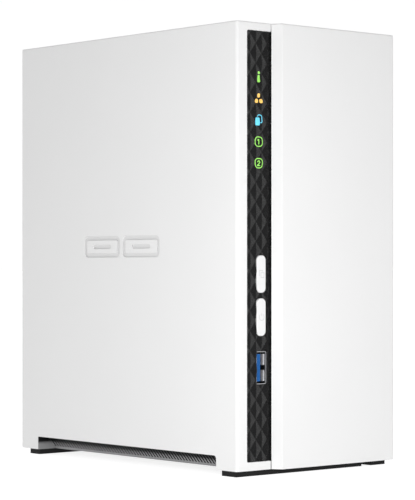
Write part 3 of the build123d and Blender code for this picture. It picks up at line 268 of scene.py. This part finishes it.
def vent_plastic_with_painted_light(name, dark, light):
    """Dark moulding with painted light and shade: the slats' faces are painted pale as if lit, and the slots
    between them and the hollow above them are painted black as shade.
    """
    paint = Paint(name, specular=0.15)
    lean = (VENT_FOOT_IN - VENT_HEAD_IN) / (VENT_HEAD_Z - VENT_FOOT_Z)
    side = paint.math("ABSOLUTE", paint.axis("X"), 0.0)
    height = paint.math("SUBTRACT", paint.axis("Z"), VENT_FOOT_Z)
    wall = paint.math("ADD", paint.math("MULTIPLY", height, lean), CASE_HIGH.x - VENT_FOOT_IN)
    depth = paint.math("DIVIDE", paint.math("SUBTRACT", wall, side), 0.5 * MM)
    # Painted light and shade: surfaces within about a tenth of a millimetre of the wall's plane take the
    # pale colour as if lit, and the slots behind stay black as shade.
    face = paint.ramp(depth, (0.06, 1.0), (0.18, 0.0))
    rise = paint.math("DIVIDE", height, VENT_HEAD_Z - VENT_FOOT_Z)
    # Painted shade: the slats are pale over the lower part of the wall and fade to black above about two
    # thirds of its height, as in the shadow under the white shell's edge.
    painted_light_by_height = paint.ramp(rise, (0.0, 1.0), (0.38, 1.0), (0.52, 0.6), (0.64, 0.0))
    mottle = paint.noise(1.2, detail=4, roughness=0.6)
    body = paint.mix(paint.math("MULTIPLY", face, painted_light_by_height), dark, light)
    paint.colour(paint.mix(paint.math("MULTIPLY", mottle, 0.25), body, tint(dark, 1.5)))
    paint.rough(mottle, 0.45, 0.6)
    paint.bump(paint.noise(0.5, detail=3), 0.012, 0.5)
    return paint.material


def rubber(name, colour):
    """Matt rubber with a pebbled skin and scuffed patches."""
    paint = Paint(name, specular=0.25)
    scuff = paint.ramp(paint.noise(2.5, detail=5, roughness=0.75), (0.52, 0.0), (0.72, 1.0))
    paint.colour(paint.mix(scuff, colour, tint(colour, 1.7)))
    paint.rough(scuff, 0.62, 0.85)
    paint.bump(paint.cells(0.45), 0.03, 0.5)
    return paint.material


def light_window(name, colour, strength):
    """Lit inlay, a touch brighter in its middle areas and with faint diffuser grain."""
    paint = Paint(name, specular=0.5)
    spread = paint.noise(1.6, detail=1)
    glow = paint.ramp(spread, (0.25, tint(colour, 0.82)), (0.8, tint(colour, 1.12)))
    paint.colour(paint.ramp(spread, (0.3, tint(colour, 0.5)), (0.7, tint(colour, 0.6))))
    paint.link(glow, paint.shader.inputs["Emission Color"])
    paint.shader.inputs["Emission Strength"].default_value = strength
    paint.rough(spread, 0.3, 0.42)
    paint.bump(paint.noise(0.3, detail=1), 0.004, 0.3)
    return paint.material


def metal(name, colour, rough=(0.24, 0.4), brushed=(1, 1, 1), grain_mm=0.6, depth=0.006, metallic=1.0):
    """Bare or plated metal, with brushing when the grain is stretched."""
    paint = Paint(name, metallic=metallic)
    streak = paint.noise(grain_mm, detail=4, stretch=brushed)
    stain = paint.noise(6.0, detail=3)
    body = paint.ramp(streak, (0.3, tint(colour, 0.86)), (0.7, tint(colour, 1.06)))
    paint.colour(paint.mix(paint.math("MULTIPLY", stain, 0.25), body, tint(colour, 0.8)))
    paint.rough(streak, *rough)
    paint.bump(streak, depth, 0.5)
    return paint.material


# How far into the sockets the painted light at their mouths reaches.
PAINTED_MOUTH_LIGHT_DEPTH = 0.9 * MM


def socket_shell_steel_painted_light_and_shade(name, dark, bright):
    """Tinned sheet with painted light and shade: painted pale at the sockets' mouths as if lit, and dark
    inside them as shade.
    """
    paint = Paint(name, metallic=0.7)
    front = near(paint, "Y", FRONT_SOCKET_LOW.y, PAINTED_MOUTH_LIGHT_DEPTH)
    rear = near(paint, "Y", REAR_SOCKETS_HIGH.y, PAINTED_MOUTH_LIGHT_DEPTH)
    # Painted light and shade: the bright colour at the mouths, as if lit, fading to the dark colour less
    # than a millimetre inside, as shade.
    mouth = paint.ramp(paint.math("MAXIMUM", front, rear), (0.3, 0.0), (0.75, 1.0))
    streak = paint.noise(0.6, detail=4, stretch=(1, 0.2, 1))
    paint.colour(paint.mix(paint.math("MULTIPLY", streak, 0.3), paint.mix(mouth, dark, bright), dark))
    paint.rough(streak, 0.3, 0.45)
    paint.bump(streak, 0.006, 0.5)
    return paint.material


def circuit_board(name, colour):
    """Green solder mask with the relief of traces and scattered pads."""
    paint = Paint(name, specular=0.6)
    node = paint.nodes.new("ShaderNodeTexBrick")
    node.inputs["Scale"].default_value = 1 / (9 * MM)
    node.inputs["Mortar Size"].default_value = 0.035
    node.inputs["Color1"].default_value = (0.0, 0.0, 0.0, 1.0)
    node.inputs["Color2"].default_value = (0.25, 0.25, 0.25, 1.0)
    node.inputs["Mortar"].default_value = (1.0, 1.0, 1.0, 1.0)
    turned = paint.nodes.new("ShaderNodeMapping")
    turned.inputs["Rotation"].default_value = (math.radians(90), math.radians(90), 0)
    paint.link(paint.place, turned.inputs["Vector"])
    paint.link(turned.outputs["Vector"], node.inputs["Vector"])
    traces = node.outputs["Color"]
    pads = paint.ramp(paint.cells(2.6), (0.10, 1.0), (0.14, 0.0))
    body = paint.mix(traces, colour, tint(colour, 1.9))
    paint.colour(paint.mix(pads, body, (0.55, 0.50, 0.36)))
    paint.rough(paint.noise(4.0), 0.22, 0.34)
    paint.bump(traces, 0.03, 0.5)
    return paint.material


def wound_copper(name, colour):
    """Enamelled wire laid in close turns."""
    paint = Paint(name, metallic=1.0)
    turns = paint.bands(0.35, "Y", distortion=1.5)
    paint.colour(paint.ramp(turns, (0.2, tint(colour, 0.45)), (0.8, colour)))
    paint.rough(turns, 0.45, 0.25)
    paint.bump(turns, 0.08, 0.8)
    return paint.material


def sleeve(name, colour):
    """Braided sleeve of the fan's leads."""
    paint = Paint(name, specular=0.35)
    braid = paint.bands(0.5, "DIAGONAL", distortion=2.0)
    paint.colour(paint.ramp(braid, (0.3, tint(colour, 0.6)), (0.7, tint(colour, 1.8))))
    paint.rough(braid, 0.7, 0.5)
    paint.bump(braid, 0.05, 0.7)
    return paint.material


WHITE = (0.80, 0.80, 0.80)
MATERIALS = {
    "white_shell": shell_plastic("white_shell_texture", WHITE),
    "white_panel": shell_plastic("white_panel_texture", tint(WHITE, 0.97)),
    "white_button": button_plastic("white_button_satin", (0.79, 0.79, 0.79)),
    "black_strip": dark_plastic("black_strip_satin", (0.003, 0.003, 0.0033), (0.22, 0.32), 0.35, 0.004, 0.5),
    "dark_base": vent_plastic_with_painted_light("dark_base_painted_light_and_shade", (0.006, 0.006, 0.0065), (0.26, 0.26, 0.265)),
    "black_rubber": rubber("black_rubber_pebbled", (0.008, 0.008, 0.0085)),
    "green_light": light_window("green_light_window", (0.27, 0.66, 0.11), 0.95),
    "amber_light": light_window("amber_light_window", (0.82, 0.50, 0.12), 0.95),
    "blue_light": light_window("blue_light_window", (0.12, 0.55, 0.74), 0.95),
    "socket_steel": metal("socket_steel_tinned", (0.70, 0.70, 0.72), (0.36, 0.5), (1, 0.2, 1), metallic=0.6),
    "usb_blue": dark_plastic("usb_blue_moulding", (0.006, 0.100, 0.34), (0.38, 0.5), 0.4, 0.006, 0.3),
    "black_moulding": dark_plastic("black_moulding_texture", (0.018, 0.018, 0.020), (0.35, 0.5), 0.6, 0.01),
    "white_moulding": button_plastic("white_moulding_nylon", (0.72, 0.70, 0.62)),
    "wire_sleeve": sleeve("wire_sleeve_braid", (0.02, 0.02, 0.02)),
    "board_green": circuit_board("board_green_mask", (0.006, 0.065, 0.022)),
    "chip_black": dark_plastic("chip_black_mould", (0.014, 0.014, 0.015), (0.45, 0.6), 0.4, 0.01),
    "capacitor_can": metal("capacitor_can_bright", (0.78, 0.78, 0.80), (0.15, 0.3)),
    "sink_aluminium": metal("sink_aluminium_extruded", (0.60, 0.61, 0.63), (0.3, 0.45), (1, 1, 0.05)),
    "cell_steel": metal("cell_steel_plated", (0.74, 0.73, 0.70), (0.18, 0.3)),
    "screw_steel": metal("screw_steel_nickel", (0.62, 0.61, 0.60), (0.2, 0.36)),
    "contact_gold": metal("contact_gold_plate", (0.83, 0.60, 0.22), (0.16, 0.28)),
    "cage_steel": metal("cage_steel_zinc", (0.62, 0.63, 0.65), (0.3, 0.46), (1, 1, 1), 5.0, 0.01),
    "drive_cast": metal("drive_cast_aluminium", (0.48, 0.49, 0.51), (0.42, 0.6), (1, 1, 1), 0.5, 0.03),
    "drive_sheet": metal("drive_sheet_pressed", (0.66, 0.67, 0.69), (0.25, 0.4), (1, 1, 0.03)),
    "bearing_bronze": metal("bearing_bronze_sintered", (0.55, 0.36, 0.18), (0.4, 0.55)),
    "winding_copper": wound_copper("winding_copper_turns", (0.72, 0.30, 0.13)),
    "magnet_ferrite": dark_plastic("magnet_ferrite_grain", (0.035, 0.035, 0.037), (0.5, 0.7), 0.3, 0.02),
    "shaft_steel": metal("shaft_steel_ground", (0.72, 0.72, 0.74), (0.12, 0.22), (1, 8, 1)),
}


# Steel for the socket shells, with painted light at their mouths and painted shade inside.
SHELL_STEEL_WITH_PAINTED_LIGHT = socket_shell_steel_painted_light_and_shade("socket_shell_steel_painted_light_and_shade", (0.03, 0.03, 0.032), (0.80, 0.80, 0.82))


def dress(piece, slot_name):
    """Gives a piece the finish of one of the record's material slots."""
    piece.data.materials.clear()
    piece.data.materials.append(MATERIALS[slot_name])


for row in frame["record"]["subparts"]:
    dress(frame["nodes"][row["node"]], row["material_slot"])


# ---------------------------------------------------------------- mesh tools
def new_piece(name, mesh, body, slot_name, *replaced):
    """Adds a finished mesh to the scene as a piece of the object."""
    piece = bpy.data.objects.new(name, mesh)
    bpy.context.scene.collection.objects.link(piece)
    dress(piece, slot_name)
    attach(piece, body)
    if replaced:
        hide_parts(*replaced)
    return piece


def box_mesh(low, high, name):
    """A closed box between two corners, as a tool for cutting."""
    solid = bmesh.new()
    bmesh.ops.create_cube(solid, size=1)
    for vertex in solid.verts:
        vertex.co = [a + (b - a) * (t + 0.5) for a, b, t in zip(low, high, vertex.co)]
    return as_mesh(solid, name)


def as_mesh(solid, name):
    mesh = bpy.data.meshes.new(name)
    solid.to_mesh(mesh)
    solid.free()
    return mesh


def carve(mesh, tools):
    """Cuts throwaway tool meshes out of a mesh by exact booleans and returns the result."""
    work = bpy.data.objects.new("carve_work", mesh)
    bpy.context.scene.collection.objects.link(work)
    helpers = []
    for tool in tools:
        helper = bpy.data.objects.new("carve_tool", tool)
        bpy.context.scene.collection.objects.link(helper)
        helpers.append(helper)
        modifier = work.modifiers.new("carve", "BOOLEAN")
        modifier.operation = "DIFFERENCE"
        modifier.solver = "EXACT"
        modifier.object = helper
    graph = bpy.context.evaluated_depsgraph_get()
    done = bpy.data.meshes.new_from_object(work.evaluated_get(graph))
    for item in [work, *helpers]:
        bpy.data.objects.remove(item)
    return done


# ---------------------------------------------------------------- faceted control strip
FACET_WIDTH, FACET_HEIGHT, FACET_RELIEF = 6.46 * MM, 8.26 * MM, 0.5 * MM
FACET_CENTRE = (SHELL_LOW.x + 17.83 * MM, CASE_LOW.z + 0.35 * MM)     # a peak of the pattern, as X and Z
FACET_SHARP = 6                 # degrees between two faces above which their edge stays sharp
CUTTER_DEPTH = 5 * MM


def lattice_range(low, high, middle, step):
    """Lattice indices that cover low to high with two steps to spare on each side."""
    return range(math.floor((low - middle) / step) - 2, math.ceil((high - middle) / step) + 3)


def facet_block(low, high, back_y):
    """Solid with a field of low rhombus pyramids on one side, a little larger than low to high.

    The other side is flat and lies at back_y.
    """
    half_w, half_h = FACET_WIDTH / 2, FACET_HEIGHT / 2
    middle = FACET_CENTRE
    columns = lattice_range(low.x, high.x, middle[0], half_w)
    rows = lattice_range(low.z, high.z, middle[1], half_h)
    valley, peak = low.y + FACET_RELIEF, low.y
    solid = bmesh.new()
    corners = {}

    def corner(column, row):
        key = (column, row)
        if key not in corners:
            place = (middle[0] + column * half_w, valley, middle[1] + row * half_h)
            corners[key] = solid.verts.new(place)
        return corners[key]

    for column in columns:
        for row in rows:
            if (column + row) % 2:
                continue
            tip = solid.verts.new((middle[0] + column * half_w, peak, middle[1] + row * half_h))
            around = ((0, 1), (-1, 0), (0, -1), (1, 0))
            ring = [corner(column + across, row + up) for across, up in around]
            for first, second in zip(ring, ring[1:] + ring[:1]):
                solid.faces.new((tip, first, second))
    rim = [edge for edge in solid.edges if edge.is_boundary]
    grown = bmesh.ops.extrude_edge_only(solid, edges=rim)
    for vertex in [item for item in grown["geom"] if isinstance(item, bmesh.types.BMVert)]:
        vertex.co.y = back_y
    back_edges = [item for item in grown["geom"] if isinstance(item, bmesh.types.BMEdge)]
    bmesh.ops.contextual_create(solid, geom=back_edges)
    bmesh.ops.recalc_face_normals(solid, faces=solid.faces)
    return solid


def shade_by_angle(mesh, degrees):
    """Smooth shading that breaks at edges sharper than the angle."""
    if "custom_normal" in mesh.attributes:
        mesh.attributes.remove(mesh.attributes["custom_normal"])
    mesh.shade_smooth()
    mesh.set_sharp_from_angle(angle=math.radians(degrees))


def facet_cutter(forward):
    """Everything in front of the facet field, with the field moved forward by a distance."""
    low = STRIP_LOW - Vector((0, forward, 0))
    return as_mesh(facet_block(low, STRIP_HIGH, STRIP_LOW.y - CUTTER_DEPTH), "facet_cutter")


def faceted_copy(node, forward):
    """A CAD node's mesh with its front trimmed to the facet field."""
    mesh = carve(frame["nodes"][node].data.copy(), [facet_cutter(forward)])
    shade_by_angle(mesh, FACET_SHARP)
    return mesh


faceted_strip = faceted_copy("control_strip", 0)
new_piece("faceted_control_strip", faceted_strip, "chassis", "black_strip", "control_strip")
LIGHT_PROUD = 0.05 * MM     # how far the lit windows stand out of the facets
LIGHT_SLOTS = {"status_light": "green_light", "network_light": "amber_light", "copy_light": "blue_light",
               "bay_lights": "green_light"}
for node, slot_name in LIGHT_SLOTS.items():
    new_piece("faceted_" + node, faceted_copy(node, LIGHT_PROUD), "chassis", slot_name, node)


# ---------------------------------------------------------------- button signs
SIGN_INK = Paint("button_sign_ink")
SIGN_INK.colour(SIGN_INK.ramp(SIGN_INK.noise(0.5), (0.3, 0.60), (0.7, 0.66)))
SIGN_INK.rough(SIGN_INK.noise(0.5), 0.4, 0.5)
INK_PROUD, INK_DEEP, INK_LINE = 0.02 * MM, 0.05 * MM, 0.32 * MM


def stroke_outline(points, width, closed=False):
    """Flat bmesh ribbon along (x, z) points, mitred, lying in the plane y = 0."""
    ribbon = bmesh.new()
    count = len(points)
    pairs = []
    for i, point in enumerate(points):
        here = Vector(point)
        before = Vector(points[i - 1]) if closed or i else here
        after = Vector(points[(i + 1) % count]) if closed or i < count - 1 else here
        incoming = (here - before).normalized() if before != here else (after - here).normalized()
        outgoing = (after - here).normalized() if after != here else incoming
        along = (incoming + outgoing).normalized()
        across = Vector((-along.y, along.x)) * width / 2 / max(0.3, along.dot(outgoing))
        pairs.append([ribbon.verts.new((p.x, 0, p.y)) for p in (here + across, here - across)])
    last = count if closed else count - 1
    for i in range(last):
        first, second = pairs[i], pairs[(i + 1) % count]
        ribbon.faces.new((first[0], first[1], second[1], second[0]))
    return ribbon


def thicken(ribbon, y_span, name):
    """Gives a flat ribbon a front and a back and closes its sides."""
    bmesh.ops.translate(ribbon, verts=ribbon.verts, vec=(0, y_span[0], 0))
    moved = bmesh.ops.extrude_face_region(ribbon, geom=list(ribbon.faces), use_keep_orig=True)
    back = [item for item in moved["geom"] if isinstance(item, bmesh.types.BMVert)]
    bmesh.ops.translate(ribbon, verts=back, vec=(0, y_span[1] - y_span[0], 0))
    bmesh.ops.recalc_face_normals(ribbon, faces=ribbon.faces)
    return as_mesh(ribbon, name)


def arc_points(centre, radius, start, end, steps):
    """Points along an arc between two angles in degrees."""
    angles = [math.radians(start + (end - start) * step / steps) for step in range(steps + 1)]
    return [(centre[0] + radius * math.cos(a), centre[1] + radius * math.sin(a)) for a in angles]


def button_sign(button, name, strokes):
    """Prints a sign of (points, closed) strokes on a button's face, centred on it."""
    low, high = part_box(button)
    centre = ((low.x + high.x) / 2, (low.z + high.z) / 2)
    y_span = (low.y - INK_PROUD, low.y + INK_DEEP)
    whole = bmesh.new()
    for points, closed in strokes:
        placed = [(centre[0] + x * MM, centre[1] + z * MM) for x, z in points]
        part = thicken(stroke_outline(placed, INK_LINE, closed), y_span, "stroke")
        whole.from_mesh(part)
        bpy.data.meshes.remove(part)
    piece = bpy.data.objects.new(name, as_mesh(whole, name))
    bpy.context.scene.collection.objects.link(piece)
    piece.data.materials.append(SIGN_INK.material)
    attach(piece, button)


def box_points(centre, size):
    """The four corners of a rectangle, anticlockwise from the upper right one."""
    half_w, half_h = size[0] / 2, size[1] / 2
    corners = ((1, 1), (-1, 1), (-1, -1), (1, -1))
    return [(centre[0] + across * half_w, centre[1] + up * half_h) for across, up in corners]


COPY_SIGN = [(box_points((0.45, -0.45), (1.7, 2.0)), True),
             ([(-0.9, -0.6), (-1.3, -0.6), (-1.3, 1.5), (0.4, 1.5), (0.4, 1.05)], False)]
POWER_SIGN = [(arc_points((0, 0), 1.35, 125, 415, 24), False), ([(0, 0.35), (0, 1.75)], False)]
button_sign("copy_button", "copy_button_sign", COPY_SIGN)
button_sign("power_button", "power_button_sign", POWER_SIGN)


# ---------------------------------------------------------------- springs and contacts in the USB sockets
SHEET = 0.3 * MM     # thickness of the socket shells


def strip_along(path, z_span, thickness):
    """A thin bent metal strip: an (x, y) path given a thickness in x and carried over a span of z."""
    sheet = bmesh.new()
    outline = [(x, y) for x, y in path] + [(x + thickness, y) for x, y in reversed(path)]
    ring = [sheet.verts.new((x, y, z_span[0])) for x, y in outline]
    face = sheet.faces.new(ring)
    moved = bmesh.ops.extrude_face_region(sheet, geom=[face])
    top = [item for item in moved["geom"] if isinstance(item, bmesh.types.BMVert)]
    bmesh.ops.translate(sheet, verts=top, vec=(0, 0, z_span[1] - z_span[0]))
    bmesh.ops.recalc_face_normals(sheet, faces=sheet.faces)
    return sheet


SPRING_HEIGHT, SPRING_OFFSET, SPRING_SHEET = 4.6 * MM, 3.35 * MM, 0.18 * MM
WINDOW_DEPTHS, WINDOW_GAP = (1.3 * MM, 8.0 * MM), 0.3 * MM     # slits beside each spring
SPRING_STEPS = ((0.0, 0.9), (0.22, 1.2), (0.42, 1.9), (0.36, 4.0), (0.0, 7.0))     # lift and depth, mm
CONTACT_COUNT, CONTACT_PITCH, CONTACT_HEIGHT, CONTACT_SHEET = 9, 1.2 * MM, 0.5 * MM, 0.12 * MM
CONTACT_DEPTHS = (1.2 * MM, 9.5 * MM)


def spring_middles(centres):
    """Middle heights of the springs, two to a socket."""
    return [centre + side * SPRING_OFFSET for centre in centres for side in (-1, 1)]


def joined(parts, name):
    """One mesh from several, which are used up."""
    whole = bmesh.new()
    for part in parts:
        whole.from_mesh(part)
        bpy.data.meshes.remove(part)
    return as_mesh(whole, name)


def usb_springs(name, wall_x, mouth_y, inward, centres):
    """Pairs of grounding springs that bow out of the shell's right wall into each socket."""
    path = [(wall_x - lift * MM, mouth_y + inward * depth * MM) for lift, depth in SPRING_STEPS]
    half = SPRING_HEIGHT / 2
    parts = [as_mesh(strip_along(path, (middle - half, middle + half), SPRING_SHEET), "spring")
             for middle in spring_middles(centres)]
    mesh = joined(parts, name)
    shade_by_angle(mesh, 40)
    new_piece(name, mesh, "chassis", "socket_steel")


def windowed_shell(node, wall_x, mouth_y, inward, centres):
    """A socket shell with the slits that its springs are cut free by."""
    tools = []
    depths = sorted(mouth_y + inward * depth for depth in WINDOW_DEPTHS)
    for middle in spring_middles(centres):
        for edge in (-1, 1):
            rim = sorted(middle + edge * (SPRING_HEIGHT / 2 + gap) for gap in (0, WINDOW_GAP))
            low = (wall_x - SHEET / 2, depths[0], rim[0])
            high = (wall_x + 2 * SHEET, depths[1], rim[1])
            tools.append(box_mesh(low, high, "spring_window"))
    mesh = carve(frame["nodes"][node].data.copy(), tools)
    shade_by_angle(mesh, 30)
    shell = new_piece("windowed_" + node, mesh, "chassis", "socket_steel", node)
    shell.data.materials[0] = SHELL_STEEL_WITH_PAINTED_LIGHT


def usb_contacts(name, face_x, mouth_y, inward, centres):
    """Gold contact strips along the tongue's inner face in each socket."""
    path = [(face_x, mouth_y + inward * depth) for depth in CONTACT_DEPTHS]
    half = CONTACT_HEIGHT / 2
    parts = []
    for centre in centres:
        middles = [centre + (i - (CONTACT_COUNT - 1) / 2) * CONTACT_PITCH for i in range(CONTACT_COUNT)]
        parts += [as_mesh(strip_along(path, (middle - half, middle + half), CONTACT_SHEET), "contact")
                  for middle in middles]
    new_piece(name, joined(parts, name), "chassis", "contact_gold")


def socket_centres(node, count, height):
    """Middle heights of the sockets in a node that holds one above another."""
    low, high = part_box(node)
    first, last = low.z + height / 2, high.z - height / 2
    return [first + (last - first) * i / max(1, count - 1) for i in range(count)]


SOCKET_HEIGHT = FRONT_SOCKET_HIGH.z - FRONT_SOCKET_LOW.z
TONGUE_FACE_IN = SHEET + 2.5 * MM     # from the shell's left side to the tongue's inner face
SOCKETS = (
    ("front_usb", "front_usb_shell", FRONT_SOCKET_LOW.x, FRONT_SOCKET_HIGH.x, FRONT_SOCKET_LOW.y, 1, 1),
    ("rear_usb", "rear_usb_shells", REAR_SOCKETS_LOW.x, REAR_SOCKETS_HIGH.x, REAR_SOCKETS_HIGH.y, -1, 2),
)
for stem, node, left, right, mouth, inward, count in SOCKETS:
    centres = socket_centres(node, count, SOCKET_HEIGHT)
    windowed_shell(node, right - SHEET, mouth, inward, centres)
    usb_springs(stem + "_springs", right - SHEET, mouth, inward, centres)
    usb_contacts(stem + "_contacts", left + TONGUE_FACE_IN, mouth, inward, centres)


# ---------------------------------------------------------------- stage, light and camera
FLOOR_REACH = 30
FLOOR_RISE, FLOOR_GLOW = (-0.55, -0.2), (0.34, 0.86)     # metres along the view axis, then strengths
WORLD_RISE, WORLD_GLOW = (-0.35, 0.45), (0.31, 1.01)     # cosine to the view axis, then strengths
VIEW_YAW = math.radians(40.89)
CAMERA_PLACE = (-0.6002, -0.6968, 0.0873)
SENSOR_WIDTH, FOCAL_LENGTH, SHIFT_UP = 36, 145.6, 0.0322
VIEW_AXIS = Vector((math.sin(VIEW_YAW), math.cos(VIEW_YAW), 0))
LIT_POINT = Vector((SEAM_X, CASE_LOW.y, 0.09))


def backdrop_light(nodes, links, vector, reach, low, high):
    """A smooth rise from low to high along the view axis, as in front of a lit white sweep."""
    dot = nodes.new("ShaderNodeVectorMath")
    dot.operation = "DOT_PRODUCT"
    dot.inputs[1].default_value = VIEW_AXIS
    links.new(vector, dot.inputs[0])
    rise = nodes.new("ShaderNodeMapRange")
    rise.interpolation_type = "SMOOTHSTEP"
    rise.inputs["From Min"].default_value, rise.inputs["From Max"].default_value = reach
    rise.inputs["To Min"].default_value, rise.inputs["To Max"].default_value = low, high
    links.new(dot.outputs["Value"], rise.inputs["Value"])
    return rise.outputs["Result"]


def make_floor():
    """Wide pale floor that glows softly, like a lit table, from under the case backwards.

    It is left out of glossy reflections, so that the facets mirror only the studio round them.
    """
    sheet = bmesh.new()
    bmesh.ops.create_grid(sheet, x_segments=8, y_segments=8, size=FLOOR_REACH)
    floor = bpy.data.objects.new("floor", as_mesh(sheet, "floor"))
    bpy.context.scene.collection.objects.link(floor)
    paint = Paint("floor_pale", specular=0.2)
    paint.shader.inputs["Base Color"].default_value = (0.35, 0.35, 0.35, 1)
    paint.shader.inputs["Roughness"].default_value = 0.9
    glow = backdrop_light(paint.nodes, paint.links, paint.place, FLOOR_RISE, *FLOOR_GLOW)
    paint.shader.inputs["Emission Color"].default_value = (1, 1, 1, 1)
    paint.link(glow, paint.shader.inputs["Emission Strength"])
    floor.data.materials.append(paint.material)
    floor.visible_glossy = False


def make_world():
    """Soft studio surround, dim at the front and bright behind the case."""
    world = bpy.data.worlds.new("studio")
    world.use_nodes = True
    tree = world.node_tree
    place = tree.nodes.new("ShaderNodeTexCoord").outputs["Generated"]
    strength = backdrop_light(tree.nodes, tree.links, place, WORLD_RISE, *WORLD_GLOW)
    tree.nodes["Background"].inputs["Color"].default_value = (1, 1, 1, 1)
    tree.links.new(strength, tree.nodes["Background"].inputs["Strength"])
    bpy.context.scene.world = world


def softbox(name, azimuth, distance, size, radiance):
    """Square area light at mid height, aimed level at the case from an azimuth round its axis.

    Azimuth 0 is straight in front and 90 is to the right; radiance is the brightness of its face.
    """
    light = bpy.data.lights.new(name, "AREA")
    light.shape = "SQUARE"
    light.size = size
    light.energy = radiance * math.pi * size ** 2
    lamp = bpy.data.objects.new(name, light)
    bpy.context.scene.collection.objects.link(lamp)
    turn = math.radians(azimuth)
    lamp.location = LIT_POINT + distance * Vector((math.sin(turn), -math.cos(turn), 0))
    lamp.rotation_euler = (LIT_POINT - lamp.location).to_track_quat("-Z", "Y").to_euler()
    lamp.visible_camera = False


def make_camera():
    """Level camera at mid height off the front left corner, with a long lens."""
    data = bpy.data.cameras.new("camera")
    data.sensor_width = SENSOR_WIDTH
    data.lens = FOCAL_LENGTH
    data.shift_y = SHIFT_UP
    camera = bpy.data.objects.new("camera", data)
    bpy.context.scene.collection.objects.link(camera)
    camera.location = CAMERA_PLACE
    camera.rotation_euler = (math.radians(90), 0, -VIEW_YAW)
    bpy.context.scene.camera = camera


make_floor()
make_world()
softbox("key_near", -41, 0.22, 0.14, 2.3)
softbox("key_left", -65, 0.40, 0.25, 2.3)
softbox("key_right", -15, 0.40, 0.25, 2.4)
make_camera()
bpy.context.scene.view_settings.view_transform = "Standard"
